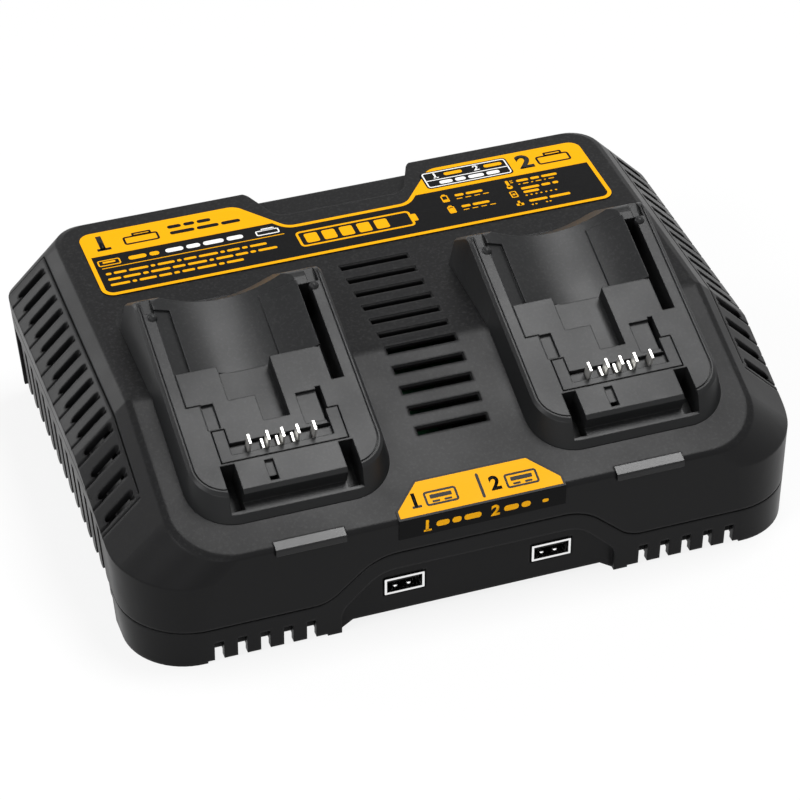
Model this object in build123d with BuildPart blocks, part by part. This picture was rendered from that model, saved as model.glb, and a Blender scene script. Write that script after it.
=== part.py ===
from build123d import *
import math
import os

# Two-bay charger for slide-on tool batteries, with two USB power sockets in front.
# Millimetres and degrees. +Z is up, -Y is the front, the origin is on the table
# under the middle of the case, and X = 0 is the plane of symmetry of the case.

os.makedirs("parts", exist_ok=True)


def sin(angle):
    return math.sin(math.radians(angle))


def cos(angle):
    return math.cos(math.radians(angle))


def tan(angle):
    return math.tan(math.radians(angle))


# ---- Case: outer form ----------------------------------------------------------------
deck_height = 67.0  # flat rear deck above the table
deck_half_width = 103.0  # where the 45 degree shoulders start
deck_slope = 19.8  # the front deck falls towards the user
crease_y = -20.6  # where the slope starts
crease_radius = 12.0
front_edge_y = -84.3  # top edge of the front face
back_edge_y = 84.4
front_draft = 2.1
back_draft = 1.1
shoulder_width = 19.5
wall_lean = 3.5  # the side walls stand this much further in at the table
ridge_height = 50.0
deck_front_corner = 20.0
base_front_corner = 22.0
ridge_front_corner = 32.0
back_corner = 11.0
edge_softness = 1.2  # small bevel all round the deck
case_wall = 2.5

# ---- Case: parting, feet and lower front edge ----------------------------------------
parting_height = 14.2
hump_height = 30.3  # the lower shell rises to this in the middle of the front
hump_foot_x = 53.9
hump_top_x = 36.6
hump_foot_radius = 12.0
hump_top_radius = 19.0
floor_height = 3.0  # underside of the floor
floor_thickness = 2.5
rim_width = 2.5
parting_groove = 0.6  # width and depth of the groove along the parting line
side_shelf_width = 8.0  # closes the space behind the side ribs from below
arch_half_width = 48.9  # the rim arches up under the socket panel
arch_run = 4.4
tooth_pitch = 8.0
tooth_gap_width = 3.3
tooth_gap_height = 8.5
tooth_gap_count = 5
first_tooth_gap_x = 59.65
tooth_gap_depth = 5.1
tooth_lift = 0.8  # the teeth stop short of the table
tooth_margin = 4.0  # from the outer gaps to the feet

# ---- Socket panel --------------------------------------------------------------------
panel_y = -80.7
panel_wall = 2.2
panel_half_width = 49.0
panel_top = 23.5
panel_top_x = 35.5
panel_shoulder_z = 9.7
panel_top_radius = 13.0
panel_side_radius = 8.0
socket_x = 26.3
socket_z = 14.1
socket_shell_width = 13.1
socket_shell_height = 5.7
socket_shell_wall = 0.3
socket_shell_length = 13.5
socket_flange_width = 14.1
socket_flange_height = 6.7
socket_flange_thickness = 0.4
socket_pocket_margin = 0.6  # shallow pocket in the panel round the flange
socket_pocket_depth = 0.9
socket_tongue_width = 11.1
socket_tongue_thickness = 1.8
socket_tongue_length = 9.5
socket_tongue_lift = 1.0
socket_plug_length = 2.5

# ---- Vents ---------------------------------------------------------------------------
louvre_pitch = 8.44
louvre_count = 15
louvre_first_y = 70.0
louvre_width = 2.8
louvre_inset = 6.4  # from the edge of the deck
louvre_reach = 10.0
louvre_step_width = 1.0
louvre_step_depth = 0.6
wall_slot_width = 3.4
wall_slot_top = 36.5
rib_bottom = 10.5
rib_end_radius = 2.2
rib_recess = 0.8
field_line_inset = 5.0
field_line_width = 0.5
field_line_depth = 0.6
field_back_y = 76.0
field_front_y = -52.0
ridge_line_height = 42.0
grille_half_length = 12.4
grille_slot_width = 2.6
grille_bevel = 0.5
grille_first_y = 27.7
grille_pitch = 8.36
grille_rear_count = 6
grille_front_count = 5
grille_front_start = 1.9  # from the crease, down the slope

# ---- Back notch ----------------------------------------------------------------------
notch_depth = 6.0
notch_front_y = 66.0
notch_front_half_width = 24.0
notch_back_half_width = 31.5
notch_radius = 6.0

# ---- Battery bays --------------------------------------------------------------------
bay_x = 59.76
bay_anchor_y = -48.3
bay_rise = 9.3  # rails above the front deck, measured straight up
bay_half_width = 33.0
bay_foot_half_width = 35.3
bay_rail_width = 5.5
bay_front = -22.5  # front of the rail tops, along the slope from the anchor
bay_foot_run = 7.0  # the front face leans out by this
bay_corner = 12.0
bay_foot_corner = 16.0
bay_rear = 57.8  # rear of the rail tops
bay_rear_foot_y = 20.5
bay_end_height = 8.5  # of the rear wall, below the slanted end
bay_end_bevel = 2.0
bay_tip_radius = 5.0
bay_tip_steps = 4
bay_edge_bevel = 0.8
bay_plug_inset = 1.0  # the plug is smaller than the foot that rests on the deck
bay_plug_clearance = 0.15
bay_underside = -16.0
bay_roof = 3.0  # thickness over the hollow underside
hook_length = 8.0
hook_reach = 2.0
hook_thickness = 1.5
valley_radius = 54.0
valley_centre = -2.0
valley_depth = 6.0
valley_start = 26.4
valley_strip_lift = 0.8
valley_strip_edge = 10.0
valley_left_edge = -21.5  # left of this the valley is a little deeper
valley_strip_end = 53.5
end_scoop_depth = 4.5
key_floor_depth = 5.5
key_left = -12.9
key_middle = -3.7
key_right = 5.5
key_step = 12.6
key_end = 2.3
groove_left = 23.0
groove_right = 27.5
groove_depth = 13.0
groove_end = 12.5
groove_rear = 52.0
nub_radius = 1.8
nub_place = 50.4
nub_proud = 1.2
entry_width = 3.2  # the rails are narrower behind the nubs
entry_depth = 2.0
rim_inset = 1.4
side_pocket_depth = 1.2
left_pocket = (-22.3, -18.2)
left_pocket_run = (2.6, 12.6)
right_pocket = (9.5, 16.6)
right_pocket_run = (-2.4, 10.0)
right_slot = (16.6, 18.4)
right_slot_run = (-3.6, 11.0)
rib_slot = (-8.0, -5.0)
rib_slot_run = (-20.6, -12.6)
rib_slot_hole = 2.2
flank_inner = 17.8
flank_outer = 22.8
flank_rear = -11.6
flank_front = -26.0
flank_depth = 11.5
wedge_front = -23.2
ledge_depth = 6.0
line_width = 0.4
line_depth = 0.5

# ---- Terminal blocks -----------------------------------------------------------------
terminal_half_width = 21.6
terminal_rear = 1.8
terminal_front = -10.5
terminal_arm_inner = 17.6
terminal_pocket_rear = -4.2
terminal_pocket_front = -8.2
terminal_pocket_floor = -1.5
terminal_gap = 0.4
terminal_seat = -12.0
terminal_flange = 2.0
terminal_flange_margin = 6.4
blade_positions_tall = (-11.5, -5.1, 0.0, 5.2, 10.9)
blade_positions_short = (-6.6, -1.4, 3.8)
blade_thickness = 0.8
blade_front = -8.0
blade_rear = -4.4
blade_tall_top = 4.5
blade_short_top = 0.0
blade_tail = 1.5  # below the terminal board
board_thickness = 1.6
fit_clearance = 0.1
terminal_screw_x = 25.0
terminal_screw_y = -4.5
terminal_screw_radius = 1.2
terminal_screw_head_radius = 2.2
terminal_screw_head = 1.4
terminal_screw_bite = 5.0

# ---- Status lights -------------------------------------------------------------------
light_x = 59.7
light_length = 24.2
light_back_y = -81.7
light_face_y = -85.2
light_bottom_z = 41.6
light_proud = 0.3
light_pipe_y = -79.6
light_pipe_height = 1.3
light_board_height = 12.0
light_board_margin = 3.0
led_size = 1.2
light_rib_width = 1.6

# ---- Labels --------------------------------------------------------------------------
label_thickness = 0.3
label_side_margin = 7.5  # from the edge of the deck
label_front_y = 37.5
label_back_y = 76.3
label_corner = 4.5
label_notch_back = 37.0
label_notch_radius = 6.0
label_notch_front = 22.5
label_notch_y = 58.2
plate_top_half_width = 19.8
plate_half_width = 29.4
plate_top_y = -71.0
plate_side_y = -80.5
plate_bottom_z = 36.3

# ---- Screws, posts and feet ----------------------------------------------------------
rear_post_inset = 9.0  # from the baffles
rear_post_y = 70.0
front_post_inset = 15.0  # from the foot of the side walls
front_post_y = -64.0
middle_post_y = 46.0
post_radius = 4.2
post_joint_height = 24.0
screw_radius = 1.6
screw_head_radius = 3.2
screw_head_height = 2.4
screw_seat_height = 12.0
screw_reach = 12.0
screw_hole_clearance = 0.15
foot_inset = 35.0
front_foot_y = -58.0
rear_foot_y = 62.0
foot_radius = 7.0
foot_socket_depth = 1.5
foot_clearance = 0.2
keyhole_x = 60.0
keyhole_y = 22.0
keyhole_radius = 4.6
keyhole_slot_width = 4.6
keyhole_slot_length = 12.0
floor_vent_length = 30.0
floor_vent_width = 3.0
floor_vent_pitch = 7.0
floor_vent_count = 6
floor_vent_x = 38.0
floor_vent_y = -12.0

# ---- Cord inlet ----------------------------------------------------------------------
inlet_x = 62.0
inlet_z = 28.0
inlet_bore_radius = 3.8
inlet_body_radius = 6.2
inlet_flange_radius = 8.6
inlet_flange_proud = 1.55
inlet_inner_flange = 2.0

# ---- Circuit boards ------------------------------------------------------------------
main_board_margin = 16.0  # from the baffles
main_board_front_y = -54.0
main_board_back_y = 76.0
main_board_z = 12.0
board_post_radius = 3.4
board_post_inset = 5.0
board_post_front_inset = 8.0
board_post_rear_y = 40.0
board_post_middle_y = -30.0
board_screw_radius = 1.3
board_screw_head_radius = 2.6
board_screw_head = 1.6
board_screw_length = 5.0
usb_board_half_width = 42.0
usb_board_back_y = -57.0
usb_post_places = ((-38.0, -62.0), (38.0, -62.0), (0.0, -74.0))
board_corner = 3.0
board_post_clearance = 1.8
transformer_x = 50.0
transformer_y = -8.0
transformer_size = (42.0, 30.0, 28.0)
winding_margin = 6.0
winding_reach = 3.0
winding_drop = 3.0
heat_sink_inset = 10.5  # from the side of the main board
heat_sink_width = 9.0
heat_sink_plate = 2.5
heat_sink_half_length = 30.0
heat_sink_top = 45.0
heat_sink_fins = 11
heat_sink_fin = 1.5
heat_sink_pitch = 5.85
transistor_size = (4.5, 10.0, 15.0)
transistor_places = (-20.0, 0.0, 20.0)
transistor_lift = 8.0
leg_width = 0.9
leg_pitch = 2.54
can_edge = 1.0
inductor_places = ((-30.0, -38.0), (30.0, -38.0))
inductor_radius = 12.0
inductor_height = 18.0
inductor_bore = 5.0
capacitor_places = ((-14.0, 58.0), (14.0, 58.0))
capacitor_radius = 11.0
capacitor_height = 35.0
relay_places = ((-20.0, -10.0), (20.0, -10.0))
relay_size = (15.0, 19.0, 16.0)
inlet_terminal_y = 66.0
inlet_terminal_size = (16.0, 12.0, 10.0)
line_choke_x = 40.0
line_choke_y = 60.0
line_choke_size = (22.0, 18.0, 20.0)
rectifier_x = 40.0
rectifier_y = 40.0
rectifier_size = (25.0, 5.0, 18.0)
film_capacitor_x = -62.0
film_capacitor_y = 62.0
film_capacitor_size = (18.0, 8.0, 14.0)
chip_places = ((-40.0, 60.0), (-40.0, 44.0), (-62.0, 44.0))
chip_size = (12.0, 8.0, 2.6)
fuse_inset = 12.0
fuse_y = 62.0
fuse_length = 20.0
fuse_radius = 2.6
fuse_lift = 4.6
fuse_clip = 4.0
usb_coil_gap = 3.0
usb_coil_size = 9.0
usb_coil_height = 4.5
usb_coil_y = -73.0
ribbon_width = 16.0
ribbon_socket_margin = 2.0
ribbon_socket_depth = 4.0
ribbon_thickness = 0.8
ribbon_z = 16.5
lead_place_s = -1.0
lead_socket_width = 20.0
lead_socket_depth = 7.0
lead_socket_height = 9.0
lead_count = 4
lead_pitch = 4.4
lead_radius = 1.3
baffle_inset = 13.0  # from the foot of the side walls
baffle_height = 30.0

# ---- What follows from the sizes above -----------------------------------------------
ridge_half_width = deck_half_width + shoulder_width
base_half_width = ridge_half_width - wall_lean
baffle_x = base_half_width - baffle_inset
louvre_inner_x = deck_half_width + louvre_inset
louvre_outer_x = louvre_inner_x + louvre_reach
field_line_x = deck_half_width + field_line_inset
label_half_width = deck_half_width - label_side_margin
main_board_half_width = baffle_x - main_board_margin
heat_sink_x = main_board_half_width - heat_sink_inset
fuse_x = main_board_half_width - fuse_inset
front_edge_z = deck_height - (crease_y - front_edge_y) * tan(deck_slope)
slope_length = (crease_y - front_edge_y) / cos(deck_slope)
floor_top = floor_height + floor_thickness
bay_anchor_z = deck_height - (crease_y - bay_anchor_y) * tan(deck_slope) + bay_rise
bay_normal_rise = bay_rise * cos(deck_slope)
tooth_zone_start = first_tooth_gap_x - tooth_pitch / 2 - tooth_gap_width / 2
last_tooth_gap_x = first_tooth_gap_x + (tooth_gap_count - 1) * tooth_pitch
tooth_zone_end = last_tooth_gap_x + tooth_margin
louvre_places = [louvre_first_y - louvre_pitch * i for i in range(louvre_count)]
rib_places = [y - louvre_pitch / 2 for y in louvre_places[:-1]]
main_board_top = main_board_z + board_thickness
usb_board_top = socket_z - socket_shell_height / 2
usb_board_front_y = panel_y + panel_wall + fit_clearance
light_board_y = light_pipe_y + led_size
light_board_top = light_bottom_z + light_pipe_height
beyond = 60.0  # how far cutting tools run past the case
rear_post_x = baffle_x - rear_post_inset
front_post_x = base_half_width - front_post_inset
post_places = (
    (-rear_post_x, rear_post_y),
    (rear_post_x, rear_post_y),
    (-front_post_x, front_post_y),
    (front_post_x, front_post_y),
    (0.0, middle_post_y),
)
foot_x = base_half_width - foot_inset
foot_places = (
    (-foot_x, front_foot_y),
    (foot_x, front_foot_y),
    (-foot_x, rear_foot_y),
    (foot_x, rear_foot_y),
)
board_post_x = main_board_half_width - board_post_inset
board_post_front_y = main_board_front_y + board_post_front_inset
board_post_places = (
    (-board_post_x, board_post_front_y),
    (board_post_x, board_post_front_y),
    (-board_post_x, board_post_rear_y),
    (board_post_x, board_post_rear_y),
    (0.0, board_post_middle_y),
)
far_width = 2 * (ridge_half_width + beyond)


def deck_z(y):
    return deck_height - max(0.0, crease_y - y) * tan(deck_slope)


def front_face_y(z):
    return front_edge_y + (front_edge_z - z) * tan(front_draft)


def back_face_y(z):
    return back_edge_y - (deck_height - z) * tan(back_draft)


def slope_plane(depth=0.0):
    """The front deck, with local Y up the slope from the crease."""
    normal = (0, -sin(deck_slope), cos(deck_slope))
    origin = (0, crease_y, deck_height)
    return Plane(origin=origin, x_dir=(1, 0, 0), z_dir=normal).offset(-depth)


def bay_plane(centre_x, height=0.0):
    """The rail tops of a bay, with local Y up the slope from the anchor."""
    normal = (0, -sin(deck_slope), cos(deck_slope))
    origin = (centre_x, bay_anchor_y, bay_anchor_z)
    return Plane(origin=origin, x_dir=(1, 0, 0), z_dir=normal).offset(height)


def upright_plane(y):
    """A vertical plane across the case, with local X along X and local Y along Z."""
    return Plane(origin=(0, y, 0), x_dir=(1, 0, 0), z_dir=(0, -1, 0))


def side_plane(x):
    """A vertical plane along the case, with local X along Y and local Y along Z."""
    return Plane(origin=(x, 0, 0), x_dir=(0, 1, 0), z_dir=(1, 0, 0))


def block(plane, across, along, heights, mode=Mode.ADD, corner=0.0):
    """A box on a plane, between two values each way, with rounded corners if asked."""
    with BuildSketch(plane.offset(heights[0])) as outline:
        with Locations(((across[0] + across[1]) / 2, (along[0] + along[1]) / 2)):
            Rectangle(across[1] - across[0], along[1] - along[0])
        if corner:
            fillet(outline.vertices(), corner)
    extrude(outline.sketch, amount=heights[1] - heights[0], mode=mode)


def rod(plane, place, radius, heights, mode=Mode.ADD):
    """A round rod standing on a plane."""
    with BuildSketch(plane.offset(heights[0])) as outline:
        with Locations(place):
            Circle(radius)
    extrude(outline.sketch, amount=heights[1] - heights[0], mode=mode)


def prism(plane, points, depth, mode=Mode.ADD, both=False):
    """A polygon on a plane, drawn out along its normal."""
    with BuildSketch(plane) as outline:
        with BuildLine():
            Polyline(*points, close=True)
        make_face()
    extrude(outline.sketch, amount=depth, both=both, mode=mode)


def inlet_plane():
    """The back wall at the cord inlet, with local Z pointing into the case."""
    origin = (inlet_x, back_face_y(inlet_z), inlet_z)
    return Plane(origin=origin, x_dir=(1, 0, 0), z_dir=(0, -cos(back_draft), sin(back_draft)))


# ---- Case blanks ---------------------------------------------------------------------
def bevel_steps(inset, softness):
    """Depth below the deck, and how far the outline is pulled in there."""
    if softness:
        return ((inset, softness), (inset + softness * 0.7, 0.0))
    return ((inset, 0.0),)


def rear_roof(inset, softness):
    """Everything under the flat deck and its shoulders."""
    full_depth = deck_height + 5.0
    with BuildPart() as roof:
        for depth, pull in bevel_steps(inset, softness) + ((full_depth, 0.0),):
            height = deck_height - depth
            half_width = deck_half_width + depth - inset * math.sqrt(2) - pull
            back = back_face_y(height) - inset - pull
            with BuildSketch(Plane.XY.offset(height)) as level:
                with Locations((0, back - far_width / 2)):
                    Rectangle(2 * half_width, far_width)
                fillet(level.vertices().group_by(Axis.Y)[-1], back_corner - inset)
        loft(ruled=True)
    return roof.part


def front_roof(inset, softness):
    """Everything under the sloped deck and its shoulders."""
    full_depth = 2 * deck_height + abs(crease_y) * 2
    shoulder_shift = inset * math.sqrt(1 + 1 / cos(deck_slope) ** 2)
    edge_angle = deck_slope - front_draft
    with BuildPart() as roof:
        for depth, pull in bevel_steps(inset, softness) + ((full_depth, 0.0),):
            half_width = deck_half_width + depth / cos(deck_slope) - shoulder_shift - pull
            edge = slope_length + depth * tan(edge_angle) - inset / cos(edge_angle) - pull
            with BuildSketch(slope_plane(depth)) as level:
                with Locations((0, far_width / 2 - edge)):
                    Rectangle(2 * half_width, far_width)
                fillet(level.vertices().group_by(Axis.Y)[0], deck_front_corner - inset)
        loft(ruled=True)
    return roof.part


def case_blank(inset, softness=0.0):
    """The solid form of the whole case, with every face moved inwards by the inset."""
    under_deck = rear_roof(inset, softness)
    under_slope = front_roof(inset, softness)
    levels = (
        (0.0, base_half_width, base_front_corner),
        (ridge_height, ridge_half_width, ridge_front_corner),
        (deck_height + 5.0, ridge_half_width, ridge_front_corner),
    )
    with BuildPart() as blank:
        for height, half_width, corner in levels:
            front = front_face_y(height) + inset
            back = back_face_y(height) - inset
            with BuildSketch(Plane.XY.offset(height)) as level:
                with Locations((0, (front + back) / 2)):
                    Rectangle(2 * (half_width - inset), back - front)
                fillet(level.vertices().group_by(Axis.Y)[0], corner - inset)
                fillet(level.vertices().group_by(Axis.Y)[-1], back_corner - inset)
        loft(ruled=True)
        add(under_deck, mode=Mode.INTERSECT)
        add(under_slope, mode=Mode.INTERSECT)
        crease = blank.edges().filter_by(Axis.X).filter_by_position(
            Axis.Y, crease_y - case_wall, crease_y + case_wall
        )
        fillet(crease.group_by(Axis.Z)[-1], crease_radius - inset)
    return blank.part


def wall_x(height):
    """Half the width of the side walls at a height."""
    draft = (ridge_half_width - base_half_width) / ridge_height
    return base_half_width + min(height, ridge_height) * draft


def shoulder_cut(depth, y, width, inner_x, side):
    """A cut of even depth across one shoulder, from an inner edge out past the ridge."""
    drop = depth * math.sqrt(2)
    outer_x = ridge_half_width + depth
    surface = deck_z(y) + deck_half_width - drop
    points = (
        (side * inner_x, surface - inner_x),
        (side * outer_x, surface - outer_x),
        (side * outer_x, deck_height + depth),
        (side * inner_x, deck_height + depth),
    )
    prism(upright_plane(y + width / 2), points, width)


def notch_prism(margin):
    """The notch in the back edge of the deck, grown all round by a margin."""
    front = notch_front_y - margin
    back = back_edge_y + beyond
    spread = (notch_back_half_width - notch_front_half_width) / (back_edge_y - notch_front_y)
    half_front = notch_front_half_width + margin
    half_mouth = half_front + spread * (back_edge_y - front)
    floor = deck_height - notch_depth - margin
    with BuildPart() as tool:
        with BuildSketch(Plane.XY.offset(floor)) as outline:
            with BuildLine():
                Polyline(
                    (-far_width, back),
                    (-far_width, back_edge_y),
                    (-half_mouth, back_edge_y),
                    (-half_front, front),
                    (half_front, front),
                    (half_mouth, back_edge_y),
                    (far_width, back_edge_y),
                    (far_width, back),
                    close=True,
                )
            make_face()
            fillet(outline.vertices().group_by(Axis.Y)[0], notch_radius + margin)
            mouth = outline.vertices().filter_by_position(Axis.X, -half_mouth, half_mouth)
            fillet(mouth.filter_by_position(Axis.Y, back_edge_y, back_edge_y), notch_radius - margin)
        extrude(amount=beyond)
    return tool.part


def below_parting(rise=0.0):
    """The space of the lower shell: under the parting line, with the hump in front."""
    edge = parting_height + rise
    crown = hump_height + rise
    with BuildPart() as body:
        block(Plane.XY, (-far_width, far_width), (-far_width, far_width), (0, edge))
        with BuildSketch(upright_plane(panel_y + panel_wall)) as hump:
            with BuildLine():
                FilletPolyline(
                    (-hump_foot_x - beyond / 2, edge),
                    (-hump_foot_x, edge),
                    (-hump_top_x, crown),
                    (0, crown),
                    radius=(hump_foot_radius, hump_top_radius),
                )
                Line((0, crown), (0, 0))
                Line((0, 0), (-hump_foot_x - beyond / 2, 0))
                Line((-hump_foot_x - beyond / 2, 0), (-hump_foot_x - beyond / 2, edge))
            make_face()
            mirror(about=Plane.YZ)
        extrude(amount=beyond)
    return body.part


def bay_foot_prism(centre_x, margin, heights):
    """The plan of a bay's foot, grown by a margin, between two heights."""
    front_s = bay_front - bay_foot_run
    front_y = bay_anchor_y + front_s * cos(deck_slope) + bay_normal_rise * sin(deck_slope)
    with BuildPart() as tool:
        with BuildSketch(Plane.XY.offset(heights[0])) as outline:
            with Locations((centre_x, (front_y + bay_rear_foot_y) / 2)):
                Rectangle(
                    2 * (bay_foot_half_width + margin),
                    bay_rear_foot_y - front_y + 2 * margin,
                )
            fillet(outline.vertices().group_by(Axis.Y)[0], bay_foot_corner + margin)
            fillet(outline.vertices().group_by(Axis.Y)[-1], bay_corner / 3 + margin)
        extrude(amount=heights[1] - heights[0])
    return tool.part


def light_profile(margin):
    """Section of a status light, from back to front, with local X along Y."""
    face = light_face_y - margin
    back = light_back_y + margin
    pipe = light_pipe_y + margin
    top = light_proud + margin
    bottom = light_bottom_z - margin
    pipe_top = light_bottom_z + light_pipe_height + margin
    return (
        (back, deck_z(back) + top),
        (face + light_proud, deck_z(face + light_proud) + top),
        (face, deck_z(face) - light_proud),
        (face, bottom),
        (pipe, bottom),
        (pipe, pipe_top),
        (back, pipe_top),
    )


case_body = case_blank(0.0, edge_softness)
case_hollow = case_blank(case_wall)
below_hooks = case_blank(case_wall + hook_thickness)
bay_centres = {"left": -bay_x, "right": bay_x}
light_centres = {"left": -light_x, "right": light_x}
socket_centres = {"left": -socket_x, "right": socket_x}

# ---- Top shell -----------------------------------------------------------------------
lower_space = below_parting()
notch_cut = notch_prism(0.0)
notch_keep = notch_prism(case_wall)
bay_openings = [
    bay_foot_prism(x, bay_plug_clearance - bay_plug_inset, (parting_height, deck_height + beyond))
    for x in bay_centres.values()
]

with BuildPart() as shell_hollow:
    add(case_hollow)
    add(notch_keep, mode=Mode.SUBTRACT)
    # posts that take the housing screws
    for place in post_places:
        rod(Plane.XY, place, post_radius, (post_joint_height, deck_height), Mode.SUBTRACT)
    # ribs on the front wall that hold the ends of the light boards
    for x in light_centres.values():
        for side in (-1, 1):
            end = x + side * (light_length / 2 + light_board_margin)
            across_rib = sorted((end, end + side * light_rib_width))
            depth = (front_edge_y, light_board_y + board_thickness)
            heights = (light_board_top - light_board_height, light_board_top)
            block(Plane.XY, across_rib, depth, heights, Mode.SUBTRACT)

with BuildPart() as louvre_steps:
    for side in (-1, 1):
        for y in louvre_places:
            step_y = y - louvre_width / 2 - louvre_step_width / 2
            width = louvre_step_width + fit_clearance
            shoulder_cut(louvre_step_depth, step_y, width, louvre_inner_x, side)

with BuildPart() as field_lines:
    half_line = field_line_width / 2
    for side in (-1, 1):
        for y in (field_front_y, field_back_y):
            shoulder_cut(field_line_depth, y, field_line_width, field_line_x, side)
        edge = (side * field_line_x - half_line, side * field_line_x + half_line)
        drop = field_line_x - deck_half_width + field_line_depth * math.sqrt(2)
        block(Plane.XY, edge, (crease_y, field_back_y), (deck_height - drop, deck_height))
        run = (field_front_y - crease_y) / cos(deck_slope)
        block(slope_plane(), edge, (run, 0), (-drop * cos(deck_slope), 0))
        line = (ridge_line_height - half_line, ridge_line_height + half_line)
        depth = (wall_x(ridge_line_height) - field_line_depth, ridge_half_width + case_wall)
        across = sorted((side * depth[0], side * depth[1]))
        block(Plane.XY, across, (field_front_y, field_back_y), line)

with BuildPart() as rib_fields:
    slots_back = louvre_places[0] + wall_slot_width / 2
    slots_front = louvre_places[-1] - wall_slot_width / 2
    for side in (-1, 1):
        outer = side * (ridge_half_width + case_wall)
        points = (
            (side * (wall_x(0) - rib_recess), 0),
            (side * (wall_x(wall_slot_top) - rib_recess), wall_slot_top),
            (outer, wall_slot_top),
            (outer, 0),
        )
        prism(upright_plane(slots_back), points, slots_back - slots_front)

with BuildPart() as wall_slots:
    for side in (-1, 1):
        with BuildSketch(side_plane(side * baffle_x)) as comb:
            with Locations(((slots_front + slots_back) / 2, wall_slot_top / 2)):
                Rectangle(slots_back - slots_front, wall_slot_top)
            for y in rib_places:
                with Locations((y, (rib_bottom + wall_slot_top) / 2 + rib_end_radius)):
                    RectangleRounded(
                        louvre_pitch - wall_slot_width,
                        wall_slot_top - rib_bottom + 2 * rib_end_radius,
                        rib_end_radius,
                        mode=Mode.SUBTRACT,
                    )
        extrude(comb.sketch, amount=side * beyond)

with BuildPart() as skirts:
    for side in (-1, 1):
        across = sorted((side * (baffle_x + fit_clearance), side * ridge_half_width))
        block(Plane.XY, across, (field_front_y, back_edge_y), (rib_bottom, parting_height))

with BuildPart() as shell_base:
    add(lower_space)
    add(skirts.part, mode=Mode.SUBTRACT)

with BuildPart() as parting_line:
    add(below_parting(parting_groove))
    add(lower_space, mode=Mode.SUBTRACT)
    add(case_blank(parting_groove), mode=Mode.SUBTRACT)
    for side in (-1, 1):
        across = sorted((side * baffle_x, side * far_width))
        block(Plane.XY, across, (field_front_y, far_width), (0, deck_height), Mode.SUBTRACT)

with BuildPart() as louvres:
    for side in (-1, 1):
        for y in louvre_places:
            middle = side * (louvre_inner_x + louvre_outer_x) / 2
            bottom = deck_z(y) - (louvre_outer_x - deck_half_width) - case_wall
            with BuildSketch(Plane.XY.offset(bottom)) as slot:
                with Locations((middle, y)):
                    SlotOverall(louvre_outer_x - louvre_inner_x, louvre_width)
            extrude(slot.sketch, amount=deck_height - bottom)

with BuildPart() as grille:
    for i in range(grille_rear_count):
        y = grille_first_y - grille_pitch * i
        line = (y - grille_slot_width / 2, y + grille_slot_width / 2)
        lip = (line[0] - grille_bevel, line[1] + grille_bevel)
        half_lip = grille_half_length + grille_bevel
        thick = (deck_height - 2 * case_wall, deck_height + case_wall)
        block(Plane.XY, (-grille_half_length, grille_half_length), line, thick)
        block(Plane.XY, (-half_lip, half_lip), lip, (deck_height - grille_bevel, thick[1]))
    for i in range(grille_front_count):
        s = -grille_front_start - grille_pitch * i
        line = (s - grille_slot_width / 2, s + grille_slot_width / 2)
        lip = (line[0] - grille_bevel, line[1] + grille_bevel)
        thick = (-2 * case_wall, case_wall)
        block(slope_plane(), (-grille_half_length, grille_half_length), line, thick)
        block(slope_plane(), (-half_lip, half_lip), lip, (-grille_bevel, thick[1]))

with BuildPart() as light_openings:
    for x in light_centres.values():
        half = light_length / 2 + fit_clearance
        plane = side_plane(x - half)
        prism(plane, light_profile(fit_clearance), 2 * half)

with BuildPart() as inlet_opening:
    through = (-case_wall, 2 * case_wall)
    rod(inlet_plane(), (0, 0), inlet_body_radius + fit_clearance, through)

with BuildPart() as post_holes:
    for place in post_places:
        depth = (post_joint_height - fit_clearance, post_joint_height + screw_reach)
        rod(Plane.XY, place, screw_radius - screw_hole_clearance, depth)

with BuildPart() as top_shell:
    add(case_body)
    cuts = [shell_hollow.part, shell_base.part, notch_cut, rib_fields.part, wall_slots.part]
    cuts += [louvre_steps.part, louvres.part, field_lines.part, grille.part]
    cuts += [light_openings.part, inlet_opening.part, post_holes.part, parting_line.part]
    cuts += bay_openings
    for cut in cuts:
        add(cut, mode=Mode.SUBTRACT)
top_shell.part.label = "top_shell"
export_step(top_shell.part, "parts/top_shell.step")

# ---- Bottom shell --------------------------------------------------------------------
with BuildPart() as pan_hollow:
    add(case_hollow)
    across = (-far_width, far_width)
    block(Plane.XY, across, across, (-beyond, floor_top), Mode.SUBTRACT)
    # the wall behind the socket panel is set back with the panel
    panel_reach = (-panel_half_width - case_wall, panel_half_width + case_wall)
    panel_depth = (front_edge_y, panel_y + panel_wall)
    block(Plane.XY, panel_reach, panel_depth, (0, panel_top + case_wall), Mode.SUBTRACT)
    for side in (-1, 1):
        edge = sorted((side * (baffle_x - case_wall), side * far_width))
        along = (field_front_y - case_wall, far_width)
        block(Plane.XY, edge, along, (0, deck_height), Mode.SUBTRACT)
    for place in post_places:
        rod(Plane.XY, place, post_radius, (0, post_joint_height), Mode.SUBTRACT)

with BuildPart() as side_cuts:
    for side in (-1, 1):
        edge = sorted((side * baffle_x, side * far_width))
        block(Plane.XY, edge, (field_front_y, far_width), (-beyond, deck_height))

with BuildPart() as under_cut:
    add(case_blank(rim_width))
    block(Plane.XY, across, across, (floor_height, deck_height + beyond), Mode.SUBTRACT)
    for side in (-1, 1):
        edge = sorted((side * (baffle_x - rim_width), side * far_width))
        along = (field_front_y - rim_width, far_width)
        block(Plane.XY, edge, along, (-beyond, deck_height), Mode.SUBTRACT)

with BuildPart() as panel_recess:
    with BuildSketch(upright_plane(panel_y)) as recess:
        with BuildLine():
            FilletPolyline(
                (-panel_half_width, -case_wall),
                (-panel_half_width, panel_shoulder_z),
                (-panel_top_x, panel_top),
                (0, panel_top),
                radius=(panel_side_radius, panel_top_radius),
            )
            Line((0, panel_top), (0, -case_wall))
            Line((0, -case_wall), (-panel_half_width, -case_wall))
        make_face()
        mirror(about=Plane.YZ)
    extrude(amount=beyond)

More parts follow.
